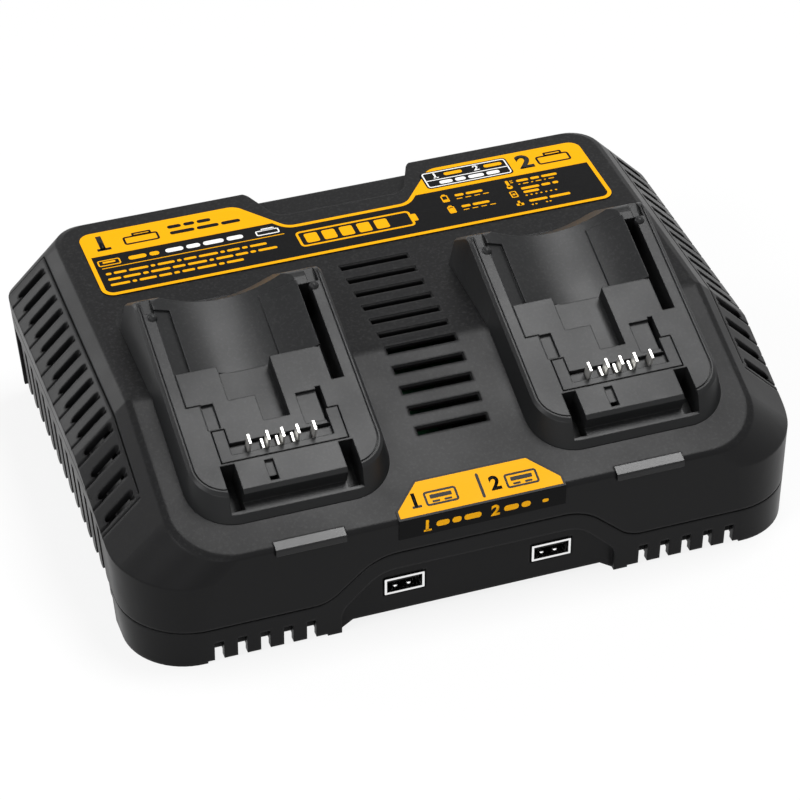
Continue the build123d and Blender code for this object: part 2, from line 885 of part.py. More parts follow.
with BuildPart() as lower_edge:
    # an arch under the panel, and a comb of vents at each side of it
    arch = (
        (-arch_half_width, -case_wall),
        (-arch_half_width, 0),
        (-arch_half_width + arch_run, floor_height),
        (arch_half_width - arch_run, floor_height),
        (arch_half_width, 0),
        (arch_half_width, -case_wall),
    )
    prism(upright_plane(front_edge_y + tooth_gap_depth), arch, tooth_gap_depth + case_wall)
    comb_depth = front_edge_y + tooth_gap_depth
    for side in (-1, 1):
        zone = sorted((side * tooth_zone_start, side * tooth_zone_end))
        block(Plane.XY, zone, (front_edge_y - case_wall, comb_depth), (-case_wall, tooth_lift))
        with BuildSketch(upright_plane(comb_depth)) as gaps:
            for i in range(tooth_gap_count):
                with Locations((side * (first_tooth_gap_x + tooth_pitch * i), 0)):
                    Rectangle(tooth_gap_width, 2 * tooth_gap_height)
        extrude(gaps.sketch, amount=tooth_gap_depth + case_wall)

with BuildPart() as floor_openings:
    through = (floor_height - case_wall, floor_top + case_wall)
    for side in (-1, 1):
        rod(Plane.XY, (side * keyhole_x, keyhole_y), keyhole_radius, through)
        half_slot = keyhole_slot_width / 2
        edge = (side * keyhole_x - half_slot, side * keyhole_x + half_slot)
        block(Plane.XY, edge, (keyhole_y, keyhole_y + keyhole_slot_length), through)
        with BuildSketch(Plane.XY.offset(through[0])) as vents:
            with Locations((side * floor_vent_x, floor_vent_y)):
                with GridLocations(floor_vent_pitch, floor_vent_pitch, floor_vent_count, 1):
                    SlotOverall(floor_vent_length, floor_vent_width, rotation=90)
        extrude(vents.sketch, amount=through[1] - through[0])
    for place in post_places:
        rod(Plane.XY, place, screw_head_radius + screw_hole_clearance, (-case_wall, screw_seat_height))
        rod(Plane.XY, place, screw_radius + screw_hole_clearance, (0, deck_height))

with BuildPart() as socket_openings:
    for x in socket_centres.values():
        half_width = socket_shell_width / 2 + fit_clearance
        half_height = socket_shell_height / 2 + fit_clearance
        across_x = (x - half_width, x + half_width)
        heights = (socket_z - half_height, socket_z + half_height)
        block(upright_plane(panel_y + 2 * panel_wall), across_x, heights, (0, beyond / 2))
        half_width = socket_flange_width / 2 + socket_pocket_margin
        half_height = socket_flange_height / 2 + socket_pocket_margin
        across_x = (x - half_width, x + half_width)
        heights = (socket_z - half_height, socket_z + half_height)
        block(upright_plane(panel_y + socket_pocket_depth), across_x, heights, (0, beyond / 2))

with BuildPart() as bottom_shell:
    add(case_body)
    add(lower_space, mode=Mode.INTERSECT)
    for cut in (lower_edge, pan_hollow, side_cuts, under_cut, panel_recess, floor_openings):
        add(cut.part, mode=Mode.SUBTRACT)
    add(socket_openings.part, mode=Mode.SUBTRACT)
    # side baffles behind the louvres, open at the top
    for side in (-1, 1):
        edge = sorted((side * (baffle_x - case_wall), side * baffle_x))
        along = (field_front_y - case_wall, back_face_y(0) - back_corner)
        block(Plane.XY, edge, along, (floor_height, baffle_height))
        shelf = sorted((side * baffle_x, side * (baffle_x + side_shelf_width)))
        block(Plane.XY, shelf, along, (floor_height, floor_top))
    for place in foot_places:
        rod(Plane.XY, place, foot_radius + case_wall, (floor_height, floor_top + foot_socket_depth))
        socket = (0, floor_height + foot_socket_depth)
        rod(Plane.XY, place, foot_radius + foot_clearance, socket, Mode.SUBTRACT)
    # posts for the boards, with screw holes
    for place in board_post_places:
        rod(Plane.XY, place, board_post_radius, (floor_top - fit_clearance, main_board_z))
        rod(Plane.XY, place, board_screw_radius, (floor_top, main_board_z), Mode.SUBTRACT)
    for place in usb_post_places:
        rod(Plane.XY, place, board_post_radius, (floor_top - fit_clearance, usb_board_top - board_thickness))
    # posts that take the housing screws
    for place in post_places:
        with BuildSketch(Plane.XY.offset(screw_seat_height)) as ring:
            with Locations(place):
                Circle(post_radius)
                Circle(screw_radius + screw_hole_clearance, mode=Mode.SUBTRACT)
        extrude(ring.sketch, amount=post_joint_height - fit_clearance - screw_seat_height)
bottom_shell.part.label = "bottom_shell"
export_step(bottom_shell.part, "parts/bottom_shell.step")

with BuildPart() as rubber_feet:
    for place in foot_places:
        with BuildSketch(Plane.XY) as pad:
            with Locations(place):
                Circle(foot_radius)
        extrude(pad.sketch, amount=floor_height + foot_socket_depth)
    chamfer(rubber_feet.edges().group_by(Axis.Z)[0], edge_softness / 2)
rubber_feet.part.label = "rubber_feet"
export_step(rubber_feet.part, "parts/rubber_feet.step")

with BuildPart() as housing_screws:
    for place in post_places:
        seat = screw_seat_height
        rod(Plane.XY, place, screw_head_radius, (seat - screw_head_height, seat))
        shank = (seat, post_joint_height + screw_reach - screw_hole_clearance)
        rod(Plane.XY, place, screw_radius - 2 * screw_hole_clearance, shank)
housing_screws.part.label = "housing_screws"
export_step(housing_screws.part, "parts/housing_screws.step")


# ---- Battery bays --------------------------------------------------------------------
def rail_plan(plane, inset):
    """Outline of a bay's rail tops, open to the rear, drawn in by a margin."""
    front = bay_front + inset
    back = bay_rear + beyond
    with BuildSketch(plane) as plan:
        with Locations((0, (front + back) / 2)):
            Rectangle(2 * (bay_half_width - inset), back - front)
        fillet(plan.vertices().group_by(Axis.Y)[0], bay_corner - inset)
    return plan.sketch


def bay_end_profile():
    """Heights of a bay's top at its rear end: a rounded tip, a slant and the rear wall."""
    tip_y = bay_anchor_y + bay_rear * cos(deck_slope)
    tip_z = bay_anchor_z + bay_rear * sin(deck_slope)
    fall = math.degrees(math.atan2(
        tip_z - deck_height - bay_end_height, bay_rear_foot_y - tip_y
    ))
    reach = bay_tip_radius * tan((deck_slope + fall) / 2)
    middle_y = tip_y - reach * cos(deck_slope) + bay_tip_radius * sin(deck_slope)
    middle_z = tip_z - reach * sin(deck_slope) - bay_tip_radius * cos(deck_slope)
    places = []
    for i in range(bay_tip_steps + 1):
        lean = (deck_slope + fall) * i / bay_tip_steps - deck_slope
        y = middle_y + bay_tip_radius * sin(lean)
        places.append((y, middle_z + bay_tip_radius * cos(lean)))
    wall_top = deck_height + bay_end_height
    places.append((bay_rear_foot_y - bay_end_bevel, wall_top + bay_end_bevel * tan(fall)))
    places.append((bay_rear_foot_y, wall_top - bay_end_bevel / 2))
    return places, tip_y, tip_z, fall


def bay_front_form(centre_x):
    """The rounded front of a bay, widening from the rail tops down to the deck."""
    with BuildPart() as form:
        for drop in (0.0, bay_edge_bevel, 3 * bay_normal_rise):
            share = drop / bay_normal_rise
            bevel = bay_edge_bevel if drop == 0.0 else 0.0
            half_width = bay_half_width + (bay_foot_half_width - bay_half_width) * share - bevel
            front = bay_front - bay_foot_run * share + bevel
            corner = bay_corner + (bay_foot_corner - bay_corner) * share - bevel
            back = bay_rear + beyond
            with BuildSketch(bay_plane(centre_x, -drop)) as level:
                with Locations((0, (front + back) / 2)):
                    Rectangle(2 * half_width, back - front)
                fillet(level.vertices().group_by(Axis.Y)[0], corner)
        loft(ruled=True)
    return form.part


def bay_side_form(centre_x):
    """The side walls and the rear end of a bay, as sections from front to back."""
    front_y = front_edge_y - bay_rise
    places = [(y, bay_anchor_z + (y - bay_anchor_y) * tan(deck_slope)) for y in (front_y, crease_y)]
    places += bay_end_profile()[0]
    with BuildPart() as form:
        for y, top_z in places:
            lean = (bay_foot_half_width - bay_half_width) / (top_z - deck_z(y))
            half = bay_half_width - (bay_end_bevel if y == bay_rear_foot_y else 0.0)
            bevel_z = top_z - bay_edge_bevel / cos(deck_slope)
            low_z = deck_z(y) - case_wall / 2
            bevel_half = half + lean * (top_z - bevel_z)
            low_half = half + lean * (top_z - low_z)
            with BuildSketch(upright_plane(y)):
                with BuildLine():
                    Polyline(
                        (centre_x - low_half, low_z),
                        (centre_x - bevel_half, bevel_z),
                        (centre_x - half + bay_edge_bevel, top_z),
                        (centre_x + half - bay_edge_bevel, top_z),
                        (centre_x + bevel_half, bevel_z),
                        (centre_x + low_half, low_z),
                        close=True,
                    )
                make_face()
        loft(ruled=True)
    return form.part


def bay_tools(centre_x):
    """What is cut out of a bay from above: valley, key floor, grooves and pockets."""
    plane = bay_plane(centre_x)
    rail_inner = bay_half_width - bay_rail_width
    rear = bay_rear + bay_rise
    with BuildPart() as valley:
        trough = Plane(
            origin=plane.from_local_coords((0, valley_start, 0)),
            x_dir=(1, 0, 0),
            z_dir=-plane.y_dir,
        )
        with BuildSketch(trough) as section:
            with Locations((valley_centre, valley_radius - valley_depth)):
                Circle(valley_radius)
            with Locations((0, valley_depth)):
                Rectangle(2 * rail_inner, 4 * valley_depth, mode=Mode.INTERSECT)
        extrude(section.sketch, amount=-(rear - valley_start))
        # the valley runs on down the slanted end
        places, tip_y, tip_z, fall = bay_end_profile()
        slanted = Plane(
            origin=(centre_x, tip_y, tip_z), x_dir=(1, 0, 0), z_dir=(0, -cos(fall), sin(fall))
        )
        with BuildSketch(slanted) as section:
            with Locations((valley_centre, valley_radius - end_scoop_depth)):
                Circle(valley_radius)
            with Locations((0, valley_depth)):
                Rectangle(2 * rail_inner, 4 * valley_depth, mode=Mode.INTERSECT)
        extrude(section.sketch, amount=-bay_rear_foot_y)
    with BuildPart() as strip:
        # the strip beside the right rail stands a little higher
        with BuildSketch(trough) as section:
            with Locations((valley_centre, valley_radius - valley_depth)):
                Circle(valley_radius)
                Circle(valley_radius - valley_strip_lift, mode=Mode.SUBTRACT)
            middle = (valley_strip_edge + groove_left) / 2
            with Locations((middle, -valley_depth / 2)):
                Rectangle(groove_left - valley_strip_edge, 2 * valley_depth, mode=Mode.INTERSECT)
        extrude(section.sketch, amount=-(valley_strip_end - valley_start))
    with BuildPart() as left_strip:
        with BuildSketch(trough) as section:
            with Locations((valley_centre, valley_radius - valley_depth)):
                Circle(valley_radius + valley_strip_lift)
            middle = (valley_left_edge - rail_inner) / 2
            with Locations((middle, 0)):
                Rectangle(valley_left_edge + rail_inner, 4 * valley_depth, mode=Mode.INTERSECT)
        extrude(section.sketch, amount=-(valley_strip_end - valley_start))
    with BuildPart() as pockets:
        add(left_strip.part)
        block(plane, (key_left, key_right), (key_step, valley_start + line_width), (-key_floor_depth, 0))
        block(plane, (key_middle, key_right), (key_end, key_step + line_width), (-key_floor_depth, 0))
        groove = (groove_end, groove_rear)
        block(plane, (groove_left, groove_right), groove, (-groove_depth, valley_depth))
        for side in (-1, 1):
            across_flank = sorted((side * flank_inner, side * flank_outer))
            block(plane, across_flank, (flank_front, flank_rear), (-flank_depth, valley_depth))
        # over the ledge in front of the wedge
        front = (bay_front - 2 * bay_foot_run, wedge_front)
        block(plane, (-flank_outer, flank_outer), front, (-ledge_depth, valley_depth))
        # shallow pockets beside the terminal block, and a rib slot in the wedge
        shallow = (-side_pocket_depth, 0)
        deep = (-key_floor_depth, 0)
        hole = (rib_slot_run[0], rib_slot_run[0] + rib_slot_hole)
        block(plane, left_pocket, left_pocket_run, shallow)
        block(plane, right_pocket, right_pocket_run, shallow)
        block(plane, right_slot, right_slot_run, deep)
        block(plane, rib_slot, rib_slot_run, shallow)
        block(plane, rib_slot, hole, deep)
        # the way in for a battery, behind the nubs
        for side in (-1, 1):
            entry = sorted((side * (rail_inner - line_width), side * (rail_inner + entry_width)))
            block(plane, entry, (nub_place + nub_radius, rear), (-entry_depth, valley_depth))
    with BuildPart() as lines:
        # joint line along the left rail and round the left pocket
        deep = (-line_depth, line_width)
        across_line = (-rail_inner, line_width - rail_inner)
        step = (left_pocket_run[1], left_pocket_run[1] + line_width)
        block(plane, across_line, (step[0], valley_start), deep)
        block(plane, (-rail_inner, left_pocket[0]), step, deep)
        block(plane, (left_pocket[0] - line_width, left_pocket[0]), left_pocket_run, deep)
    with BuildPart() as rim:
        # a fine groove just inside the outer edge of the rails
        extrude(rail_plan(plane.offset(-line_depth), rim_inset), amount=valley_depth)
        inner_plan = rail_plan(plane.offset(-line_depth), rim_inset + line_width)
        extrude(inner_plan, amount=valley_depth, mode=Mode.SUBTRACT)
        middle = (-flank_outer, flank_outer)
        block(plane, middle, (bay_front, terminal_front), (-line_depth, valley_depth), Mode.SUBTRACT)
    return rim.part, valley.part, strip.part, pockets.part, lines.part


def terminal_opening(centre_x):
    """The opening in a bay for its terminal block: a frame round a tongue."""
    plane = bay_plane(centre_x)
    half = terminal_half_width + terminal_gap
    along = (terminal_front - terminal_gap, terminal_rear + terminal_gap)
    tongue = terminal_arm_inner - terminal_gap
    seat_half = terminal_half_width + terminal_flange_margin + terminal_gap
    seat_front = terminal_front - terminal_flange - terminal_gap
    seat_rear = terminal_rear + terminal_flange + terminal_gap
    with BuildPart() as tool:
        block(plane, (-half, half), along, (terminal_seat, valley_depth))
        rear = (terminal_pocket_rear + terminal_gap, terminal_rear + 2 * terminal_gap)
        block(plane, (-tongue, tongue), rear, (2 * terminal_seat, 2 * valley_depth), Mode.SUBTRACT)
        seat = (seat_front, seat_rear)
        block(plane, (-seat_half, seat_half), seat, (2 * bay_underside, terminal_seat))
    return tool.part


def battery_bay(centre_x):
    """One raised bay: a slide-on seat with rails, key pockets and guide slots."""
    plane = bay_plane(centre_x)
    front_form = bay_front_form(centre_x)
    side_form = bay_side_form(centre_x)
    plug = bay_foot_prism(centre_x, -bay_plug_inset, (parting_height, deck_height))
    rim, valley, strip, pockets, lines = bay_tools(centre_x)
    opening = terminal_opening(centre_x)
    rail_inner = bay_half_width - bay_rail_width
    with BuildPart() as deep_plug:
        add(plug)
        add(case_body, mode=Mode.INTERSECT)
        under_slope = (-beyond, crease_y - bay_anchor_y)
        block(plane, (-beyond, beyond), under_slope, (bay_underside, beyond), Mode.INTERSECT)
    with BuildPart() as rim_plug:
        add(plug)
        add(case_body, mode=Mode.INTERSECT)
        add(below_hooks, mode=Mode.SUBTRACT)
    with BuildPart() as hooks:
        # clips that grip the deck from below
        reach = bay_foot_half_width - bay_plug_inset + hook_reach
        for y in (bay_anchor_y, bay_rear_foot_y - hook_length):
            block(
                Plane.XY,
                (centre_x - reach, centre_x + reach),
                (y - hook_length / 2, y + hook_length / 2),
                (parting_height, deck_height),
            )
        add(case_hollow, mode=Mode.INTERSECT)
        add(below_hooks, mode=Mode.SUBTRACT)
    with BuildPart() as hollow:
        roof = -valley_depth - bay_roof
        inner = rail_inner + bay_roof / 2
        front = terminal_rear + terminal_flange + bay_roof
        rear = bay_rear - bay_roof
        block(plane, (-inner, groove_left - bay_roof), (front, rear), (3 * roof, roof))
        behind_pockets = (left_pocket_run[1] + bay_roof, valley_start - bay_roof)
        upper = (2 * roof, -bay_roof)
        block(plane, (bay_roof - rail_inner, key_left - bay_roof), behind_pockets, upper)
        block(plane, (key_right + bay_roof, groove_left - bay_roof), behind_pockets, upper)
        rear_y = bay_anchor_y + rear * cos(deck_slope)
        slant = (
            (rear_y - bay_roof, deck_height - 2 * bay_roof),
            (rear_y - bay_roof, deck_height + 2 * bay_roof),
            (rear_y + bay_roof, deck_height + 2 * bay_roof),
            (bay_rear_foot_y - 3 * bay_roof, deck_height - 2 * bay_roof),
        )
        prism(side_plane(centre_x - inner), slant, 2 * inner)
    with BuildPart() as bay:
        add(side_form)
        add(front_form, mode=Mode.INTERSECT)
        add(case_body, mode=Mode.SUBTRACT)
        add(rim_plug.part)
        add(deep_plug.part)
        add(hooks.part)
        for tool in (hollow.part, valley, pockets, lines, opening, rim):
            add(tool, mode=Mode.SUBTRACT)
        add(strip)
        # the nubs on the rails
        for side in (-1, 1):
            place = (side * (rail_inner + nub_radius / 2), nub_place, nub_proud - nub_radius)
            with Locations(plane.from_local_coords(place)):
                Sphere(nub_radius)
        for side in (-1, 1):
            place = (side * terminal_screw_x, terminal_screw_y)
            grip = (terminal_seat, terminal_seat + terminal_screw_bite)
            rod(plane, place, terminal_screw_radius - screw_hole_clearance, grip, Mode.SUBTRACT)
    return bay.part


def terminal_block(centre_x):
    """The U-shaped terminal frame, with a pocket that the blades stand in."""
    plane = bay_plane(centre_x)
    half = terminal_half_width
    seat_half = half + terminal_flange_margin
    along = (terminal_front, terminal_rear)
    flange = (terminal_front - terminal_flange, terminal_rear + terminal_flange)
    flange_heights = (terminal_seat - terminal_flange, terminal_seat)
    with BuildPart() as block_body:
        block(plane, (-half, half), along, (terminal_seat, 0))
        throat = (terminal_pocket_rear, terminal_rear + terminal_gap)
        block(plane, (-terminal_arm_inner, terminal_arm_inner), throat, (terminal_seat, 0), Mode.SUBTRACT)
        pocket = (terminal_pocket_front, terminal_pocket_rear)
        depth = (terminal_pocket_floor, 0)
        block(plane, (-terminal_arm_inner, terminal_arm_inner), pocket, depth, Mode.SUBTRACT)
        block(plane, (-seat_half, seat_half), flange, flange_heights)
        cut_blades(plane, fit_clearance)
        for side in (-1, 1):
            place = (side * terminal_screw_x, terminal_screw_y)
            radius = terminal_screw_radius + screw_hole_clearance
            rod(plane, place, radius, (2 * terminal_seat, terminal_seat), Mode.SUBTRACT)
    return block_body.part


def blade_spans():
    """Middle and top of each contact blade."""
    tall = [(u, blade_tall_top) for u in blade_positions_tall]
    short = [(u, blade_short_top) for u in blade_positions_short]
    return tall + short


def blade_bottom():
    return terminal_seat - terminal_flange - board_thickness - blade_tail


def cut_blades(plane, clearance):
    """Slots that the blades pass through."""
    half = blade_thickness / 2 + clearance
    along = (blade_front - clearance, blade_rear + clearance)
    for middle, top in blade_spans():
        across_blade = (middle - half, middle + half)
        block(plane, across_blade, along, (blade_bottom(), terminal_pocket_floor), Mode.SUBTRACT)


def contact_blades(centre_x):
    """Five tall and three short blades, upright along the slide direction."""
    plane = bay_plane(centre_x)
    half = blade_thickness / 2
    with BuildPart() as blades:
        for middle, top in blade_spans():
            heights = (blade_bottom(), top)
            block(plane, (middle - half, middle + half), (blade_front, blade_rear), heights)
    return blades.part


def terminal_board(centre_x):
    """The small board that the blades are soldered to."""
    plane = bay_plane(centre_x)
    top = terminal_seat - terminal_flange
    half = terminal_half_width
    with BuildPart() as board:
        block(plane, (-half, half), (terminal_front, terminal_rear), (top - board_thickness, top))
        cut_blades(plane, fit_clearance)
    return board.part


def battery_leads(centre_x, board_top):
    """A socket on the main board and four leads up to the terminal board."""
    plane = bay_plane(centre_x)
    underside = terminal_seat - terminal_flange - board_thickness
    foot = plane.from_local_coords((0, lead_place_s, underside))
    with BuildPart() as leads:
        half_width = lead_socket_width / 2
        half_depth = lead_socket_depth / 2
        across_socket = (centre_x - half_width, centre_x + half_width)
        along = (foot.Y - half_depth, foot.Y + half_depth)
        block(Plane.XY, across_socket, along, (board_top, board_top + lead_socket_height))
        for i in range(lead_count):
            x = centre_x + (i - (lead_count - 1) / 2) * lead_pitch
            rod(Plane.XY, (x, foot.Y), lead_radius, (board_top, deck_height))
        cover = (underside, beyond)
        block(plane, (-beyond, beyond), (-beyond, beyond), cover, Mode.SUBTRACT)
    return leads.part


for side_name, centre in bay_centres.items():
    bay = battery_bay(centre)
    bay.label = f"{side_name}_battery_bay"
    export_step(bay, f"parts/{side_name}_battery_bay.step")

    frame = terminal_block(centre)
    frame.label = f"{side_name}_terminal_block"
    export_step(frame, f"parts/{side_name}_terminal_block.step")

    blades = contact_blades(centre)
    blades.label = f"{side_name}_contact_blades"
    export_step(blades, f"parts/{side_name}_contact_blades.step")

    small_board = terminal_board(centre)
    small_board.label = f"{side_name}_terminal_board"
    export_step(small_board, f"parts/{side_name}_terminal_board.step")

    leads = battery_leads(centre, main_board_top)
    leads.label = f"{side_name}_battery_leads"
    export_step(leads, f"parts/{side_name}_battery_leads.step")

with BuildPart() as terminal_screws:
    for centre in bay_centres.values():
        plane = bay_plane(centre)
        seat = terminal_seat - terminal_flange
        for side in (-1, 1):
            place = (side * terminal_screw_x, terminal_screw_y)
            rod(plane, place, terminal_screw_head_radius, (seat - terminal_screw_head, seat))
            shank = terminal_screw_radius - 2 * screw_hole_clearance
            rod(plane, place, shank, (seat, terminal_seat + terminal_screw_bite - fit_clearance))
terminal_screws.part.label = "terminal_screws"
export_step(terminal_screws.part, "parts/terminal_screws.step")

# ---- Status lights -------------------------------------------------------------------
for side_name, centre in light_centres.items():
    half = light_length / 2
    with BuildPart() as lens:
        prism(side_plane(centre - half), light_profile(0.0), light_length)
    lens.part.label = f"{side_name}_status_light_lens"
    export_step(lens.part, f"parts/{side_name}_status_light_lens.step")

    board_half = half + light_board_margin
    with BuildPart() as light_board:
        heights = (light_board_top - light_board_height, light_board_top)
        depth = (light_board_y, light_board_y + board_thickness)
        block(Plane.XY, (centre - board_half, centre + board_half), depth, heights)
        for i in (-1, 0, 1):
            x = centre + i * (half - 2 * led_size)
            led = (x - led_size, x + led_size)
            height = (light_board_top - 2 * led_size, light_board_top)
            block(Plane.XY, led, (light_pipe_y + fit_clearance / 2, light_board_y), height)
    light_board.part.label = f"{side_name}_status_light_board"
    export_step(light_board.part, f"parts/{side_name}_status_light_board.step")

# ---- Labels --------------------------------------------------------------------------
with BuildPart() as top_label:
    with BuildSketch(Plane.XY.offset(deck_height)) as field:
        with BuildLine():
            Polyline(
                (-label_half_width, label_front_y),
                (-label_half_width, label_back_y),
                (-label_notch_back, label_back_y),
                (-label_notch_front, label_notch_y),
                (label_notch_front, label_notch_y),
                (label_notch_back, label_back_y),
                (label_half_width, label_back_y),
                (label_half_width, label_front_y),
                close=True,
            )
        make_face()
        notch_corners = field.vertices().filter_by_position(
            Axis.X, -label_notch_back, label_notch_back
        )
        fillet(notch_corners, label_notch_radius)
        fillet(field.vertices().group_by(Axis.X)[0], label_corner)
        fillet(field.vertices().group_by(Axis.X)[-1], label_corner)
    extrude(amount=label_thickness)
top_label.part.label = "top_label"
export_step(top_label.part, "parts/top_label.step")

with BuildPart() as front_label:
    top_s = (plate_top_y - crease_y) / cos(deck_slope)
    side_s = (plate_side_y - crease_y) / cos(deck_slope)
    edge_s = -slope_length
    outline = (
        (-plate_top_half_width, top_s),
        (-plate_half_width, side_s),
        (-plate_half_width, edge_s),
        (plate_half_width, edge_s),
        (plate_half_width, side_s),
        (plate_top_half_width, top_s),
    )
    prism(slope_plane(), outline, label_thickness)
    # the band that hangs down the front face
    face_plane = Plane(
        origin=(0, front_edge_y, front_edge_z),
        x_dir=(1, 0, 0),
        z_dir=(0, -cos(front_draft), -sin(front_draft)),
    )
    drop = (front_edge_z - plate_bottom_z) / cos(front_draft)
    block(face_plane, (-plate_half_width, plate_half_width), (-drop, 0), (0, label_thickness))
    lift_y = label_thickness * sin(deck_slope)
    lift_z = label_thickness * cos(deck_slope)
    corner = (
        (front_edge_y + lift_z, front_edge_z - lift_z),
        (front_edge_y + lift_z, front_edge_z + lift_z + lift_y),
        (front_edge_y - lift_y, front_edge_z + lift_z),
        (front_edge_y - label_thickness, front_edge_z - lift_y),
        (front_edge_y - label_thickness, front_edge_z - lift_z),
    )
    prism(side_plane(-plate_half_width), corner, 2 * plate_half_width)
    add(case_body, mode=Mode.SUBTRACT)
front_label.part.label = "front_label"
export_step(front_label.part, "parts/front_label.step")

# ---- USB sockets ---------------------------------------------------------------------
for side_name, centre in socket_centres.items():
    half_width = socket_shell_width / 2
    half_height = socket_shell_height / 2
    wall = socket_shell_wall
    depth = socket_shell_length
    rear_plane = upright_plane(panel_y + depth)
    heights = (socket_z - half_height, socket_z + half_height)
    across_shell = (centre - half_width, centre + half_width)
    across_hole = (centre - half_width + wall, centre + half_width - wall)
    hole_heights = (heights[0] + wall, heights[1] - wall)
    with BuildPart() as socket_shell:
        block(rear_plane, across_shell, heights, (0, depth + socket_flange_thickness / 2))
        flange_x = (centre - socket_flange_width / 2, centre + socket_flange_width / 2)
        flange_z = (socket_z - socket_flange_height / 2, socket_z + socket_flange_height / 2)
        flange_depth = (0, socket_flange_thickness)
        block(upright_plane(panel_y), flange_x, flange_z, flange_depth, corner=socket_shell_wall)
        block(rear_plane, across_hole, hole_heights, (-wall, depth + case_wall), Mode.SUBTRACT)
    socket_shell.part.label = f"{side_name}_usb_socket_shell"
    export_step(socket_shell.part, f"parts/{side_name}_usb_socket_shell.step")

    with BuildPart() as tongue:
        gap = fit_clearance / 2
        plug_x = (across_hole[0] + gap, across_hole[1] - gap)
        plug_z = (hole_heights[0] + gap, hole_heights[1] - gap)
        block(rear_plane, plug_x, plug_z, (0, socket_plug_length))
        tongue_x = (centre - socket_tongue_width / 2, centre + socket_tongue_width / 2)
        tongue_z = (socket_z + socket_tongue_lift - socket_tongue_thickness / 2,
                    socket_z + socket_tongue_lift + socket_tongue_thickness / 2)
        block(rear_plane, tongue_x, tongue_z, (0, socket_plug_length + socket_tongue_length))
    tongue.part.label = f"{side_name}_usb_socket_tongue"
    export_step(tongue.part, f"parts/{side_name}_usb_socket_tongue.step")

with BuildPart() as usb_board:
    across_board = (-usb_board_half_width, usb_board_half_width)
    depth = (usb_board_front_y, usb_board_back_y)
    block(Plane.XY, across_board, depth, (usb_board_top - board_thickness, usb_board_top))
    for x, y in usb_post_places:
        rod(Plane.XY, (x, y), board_screw_radius, (0, deck_height), Mode.SUBTRACT)
usb_board.part.label = "usb_board"
export_step(usb_board.part, "parts/usb_board.step")

with BuildPart() as usb_coils:
    for side in (-1, 1):
        across_coil = sorted((side * usb_coil_gap, side * (usb_coil_gap + usb_coil_size)))
        depth = (usb_coil_y, usb_coil_y + usb_coil_size)
        block(Plane.XY, across_coil, depth, (usb_board_top, usb_board_top + usb_coil_height), corner=1.0)
usb_coils.part.label = "usb_coils"
export_step(usb_coils.part, "parts/usb_coils.step")

with BuildPart() as usb_ribbon:
    half = ribbon_width / 2 + ribbon_socket_margin
    across_socket = (-half, half)
    rear = main_board_front_y + ribbon_socket_margin
    front = usb_board_back_y - ribbon_socket_margin
    rear_socket = (rear, rear + ribbon_socket_depth)
    front_socket = (front - ribbon_socket_depth, front)
    block(Plane.XY, across_socket, front_socket, (usb_board_top, ribbon_z))
    block(Plane.XY, across_socket, rear_socket, (main_board_top, ribbon_z))
    strip = (front_socket[0], rear_socket[1])
    block(Plane.XY, (-ribbon_width / 2, ribbon_width / 2), strip, (ribbon_z, ribbon_z + ribbon_thickness))
usb_ribbon.part.label = "usb_ribbon"
export_step(usb_ribbon.part, "parts/usb_ribbon.step")

# ---- Cord inlet ----------------------------------------------------------------------
with BuildPart() as cord_grommet:
    outer_face = -inlet_flange_proud
    inner_face = case_wall + fit_clearance
    inner_end = inner_face + inlet_inner_flange
    rod(inlet_plane(), (0, 0), inlet_flange_radius, (outer_face, -fit_clearance))
    rod(inlet_plane(), (0, 0), inlet_body_radius, (outer_face, inner_end))
    rod(inlet_plane(), (0, 0), inlet_flange_radius, (inner_face, inner_end))
    rod(inlet_plane(), (0, 0), inlet_bore_radius, (outer_face, inner_end), Mode.SUBTRACT)
cord_grommet.part.label = "cord_grommet"
export_step(cord_grommet.part, "parts/cord_grommet.step")

# ---- Main board and what stands on it ------------------------------------------------
def on_board(places, size, corner=0.0):
    """Boxes of one size that stand on the main board."""
    width, depth, height = size
    with BuildPart() as boxes:
        for x, y in places:
            across_box = (x - width / 2, x + width / 2)
            along_box = (y - depth / 2, y + depth / 2)
            heights = (main_board_top, main_board_top + height)
            block(Plane.XY, across_box, along_box, heights, corner=corner)
    return boxes.part


def cans_on_board(places, radius, height, bore=0.0):
    """Round parts that stand on the main board, with a rounded top edge or a bore."""
    with BuildPart() as cans:
        for place in places:
            rod(Plane.XY, place, radius, (main_board_top, main_board_top + height))
        chamfer(cans.edges().group_by(Axis.Z)[-1], can_edge)
        if bore:
            for place in places:
                heights = (main_board_top + can_edge, main_board_top + height)
                rod(Plane.XY, place, bore, heights, Mode.SUBTRACT)
    return cans.part


with BuildPart() as main_board:
    across_board = (-main_board_half_width, main_board_half_width)
    depth = (main_board_front_y, main_board_back_y)
    block(Plane.XY, across_board, depth, (main_board_z, main_board_top), corner=board_corner)
    for place in board_post_places:
        radius = board_screw_radius + screw_hole_clearance
        rod(Plane.XY, place, radius, (0, deck_height), Mode.SUBTRACT)
    for place in post_places:
        rod(Plane.XY, place, post_radius + board_post_clearance, (0, deck_height), Mode.SUBTRACT)
main_board.part.label = "main_board"
export_step(main_board.part, "parts/main_board.step")

with BuildPart() as board_screws:
    for place in board_post_places:
        heights = (main_board_top, main_board_top + board_screw_head)
        rod(Plane.XY, place, board_screw_head_radius, heights)
        heights = (main_board_top - board_screw_length, main_board_top)
        rod(Plane.XY, place, board_screw_radius - screw_hole_clearance, heights)
board_screws.part.label = "board_screws"
export_step(board_screws.part, "parts/board_screws.step")

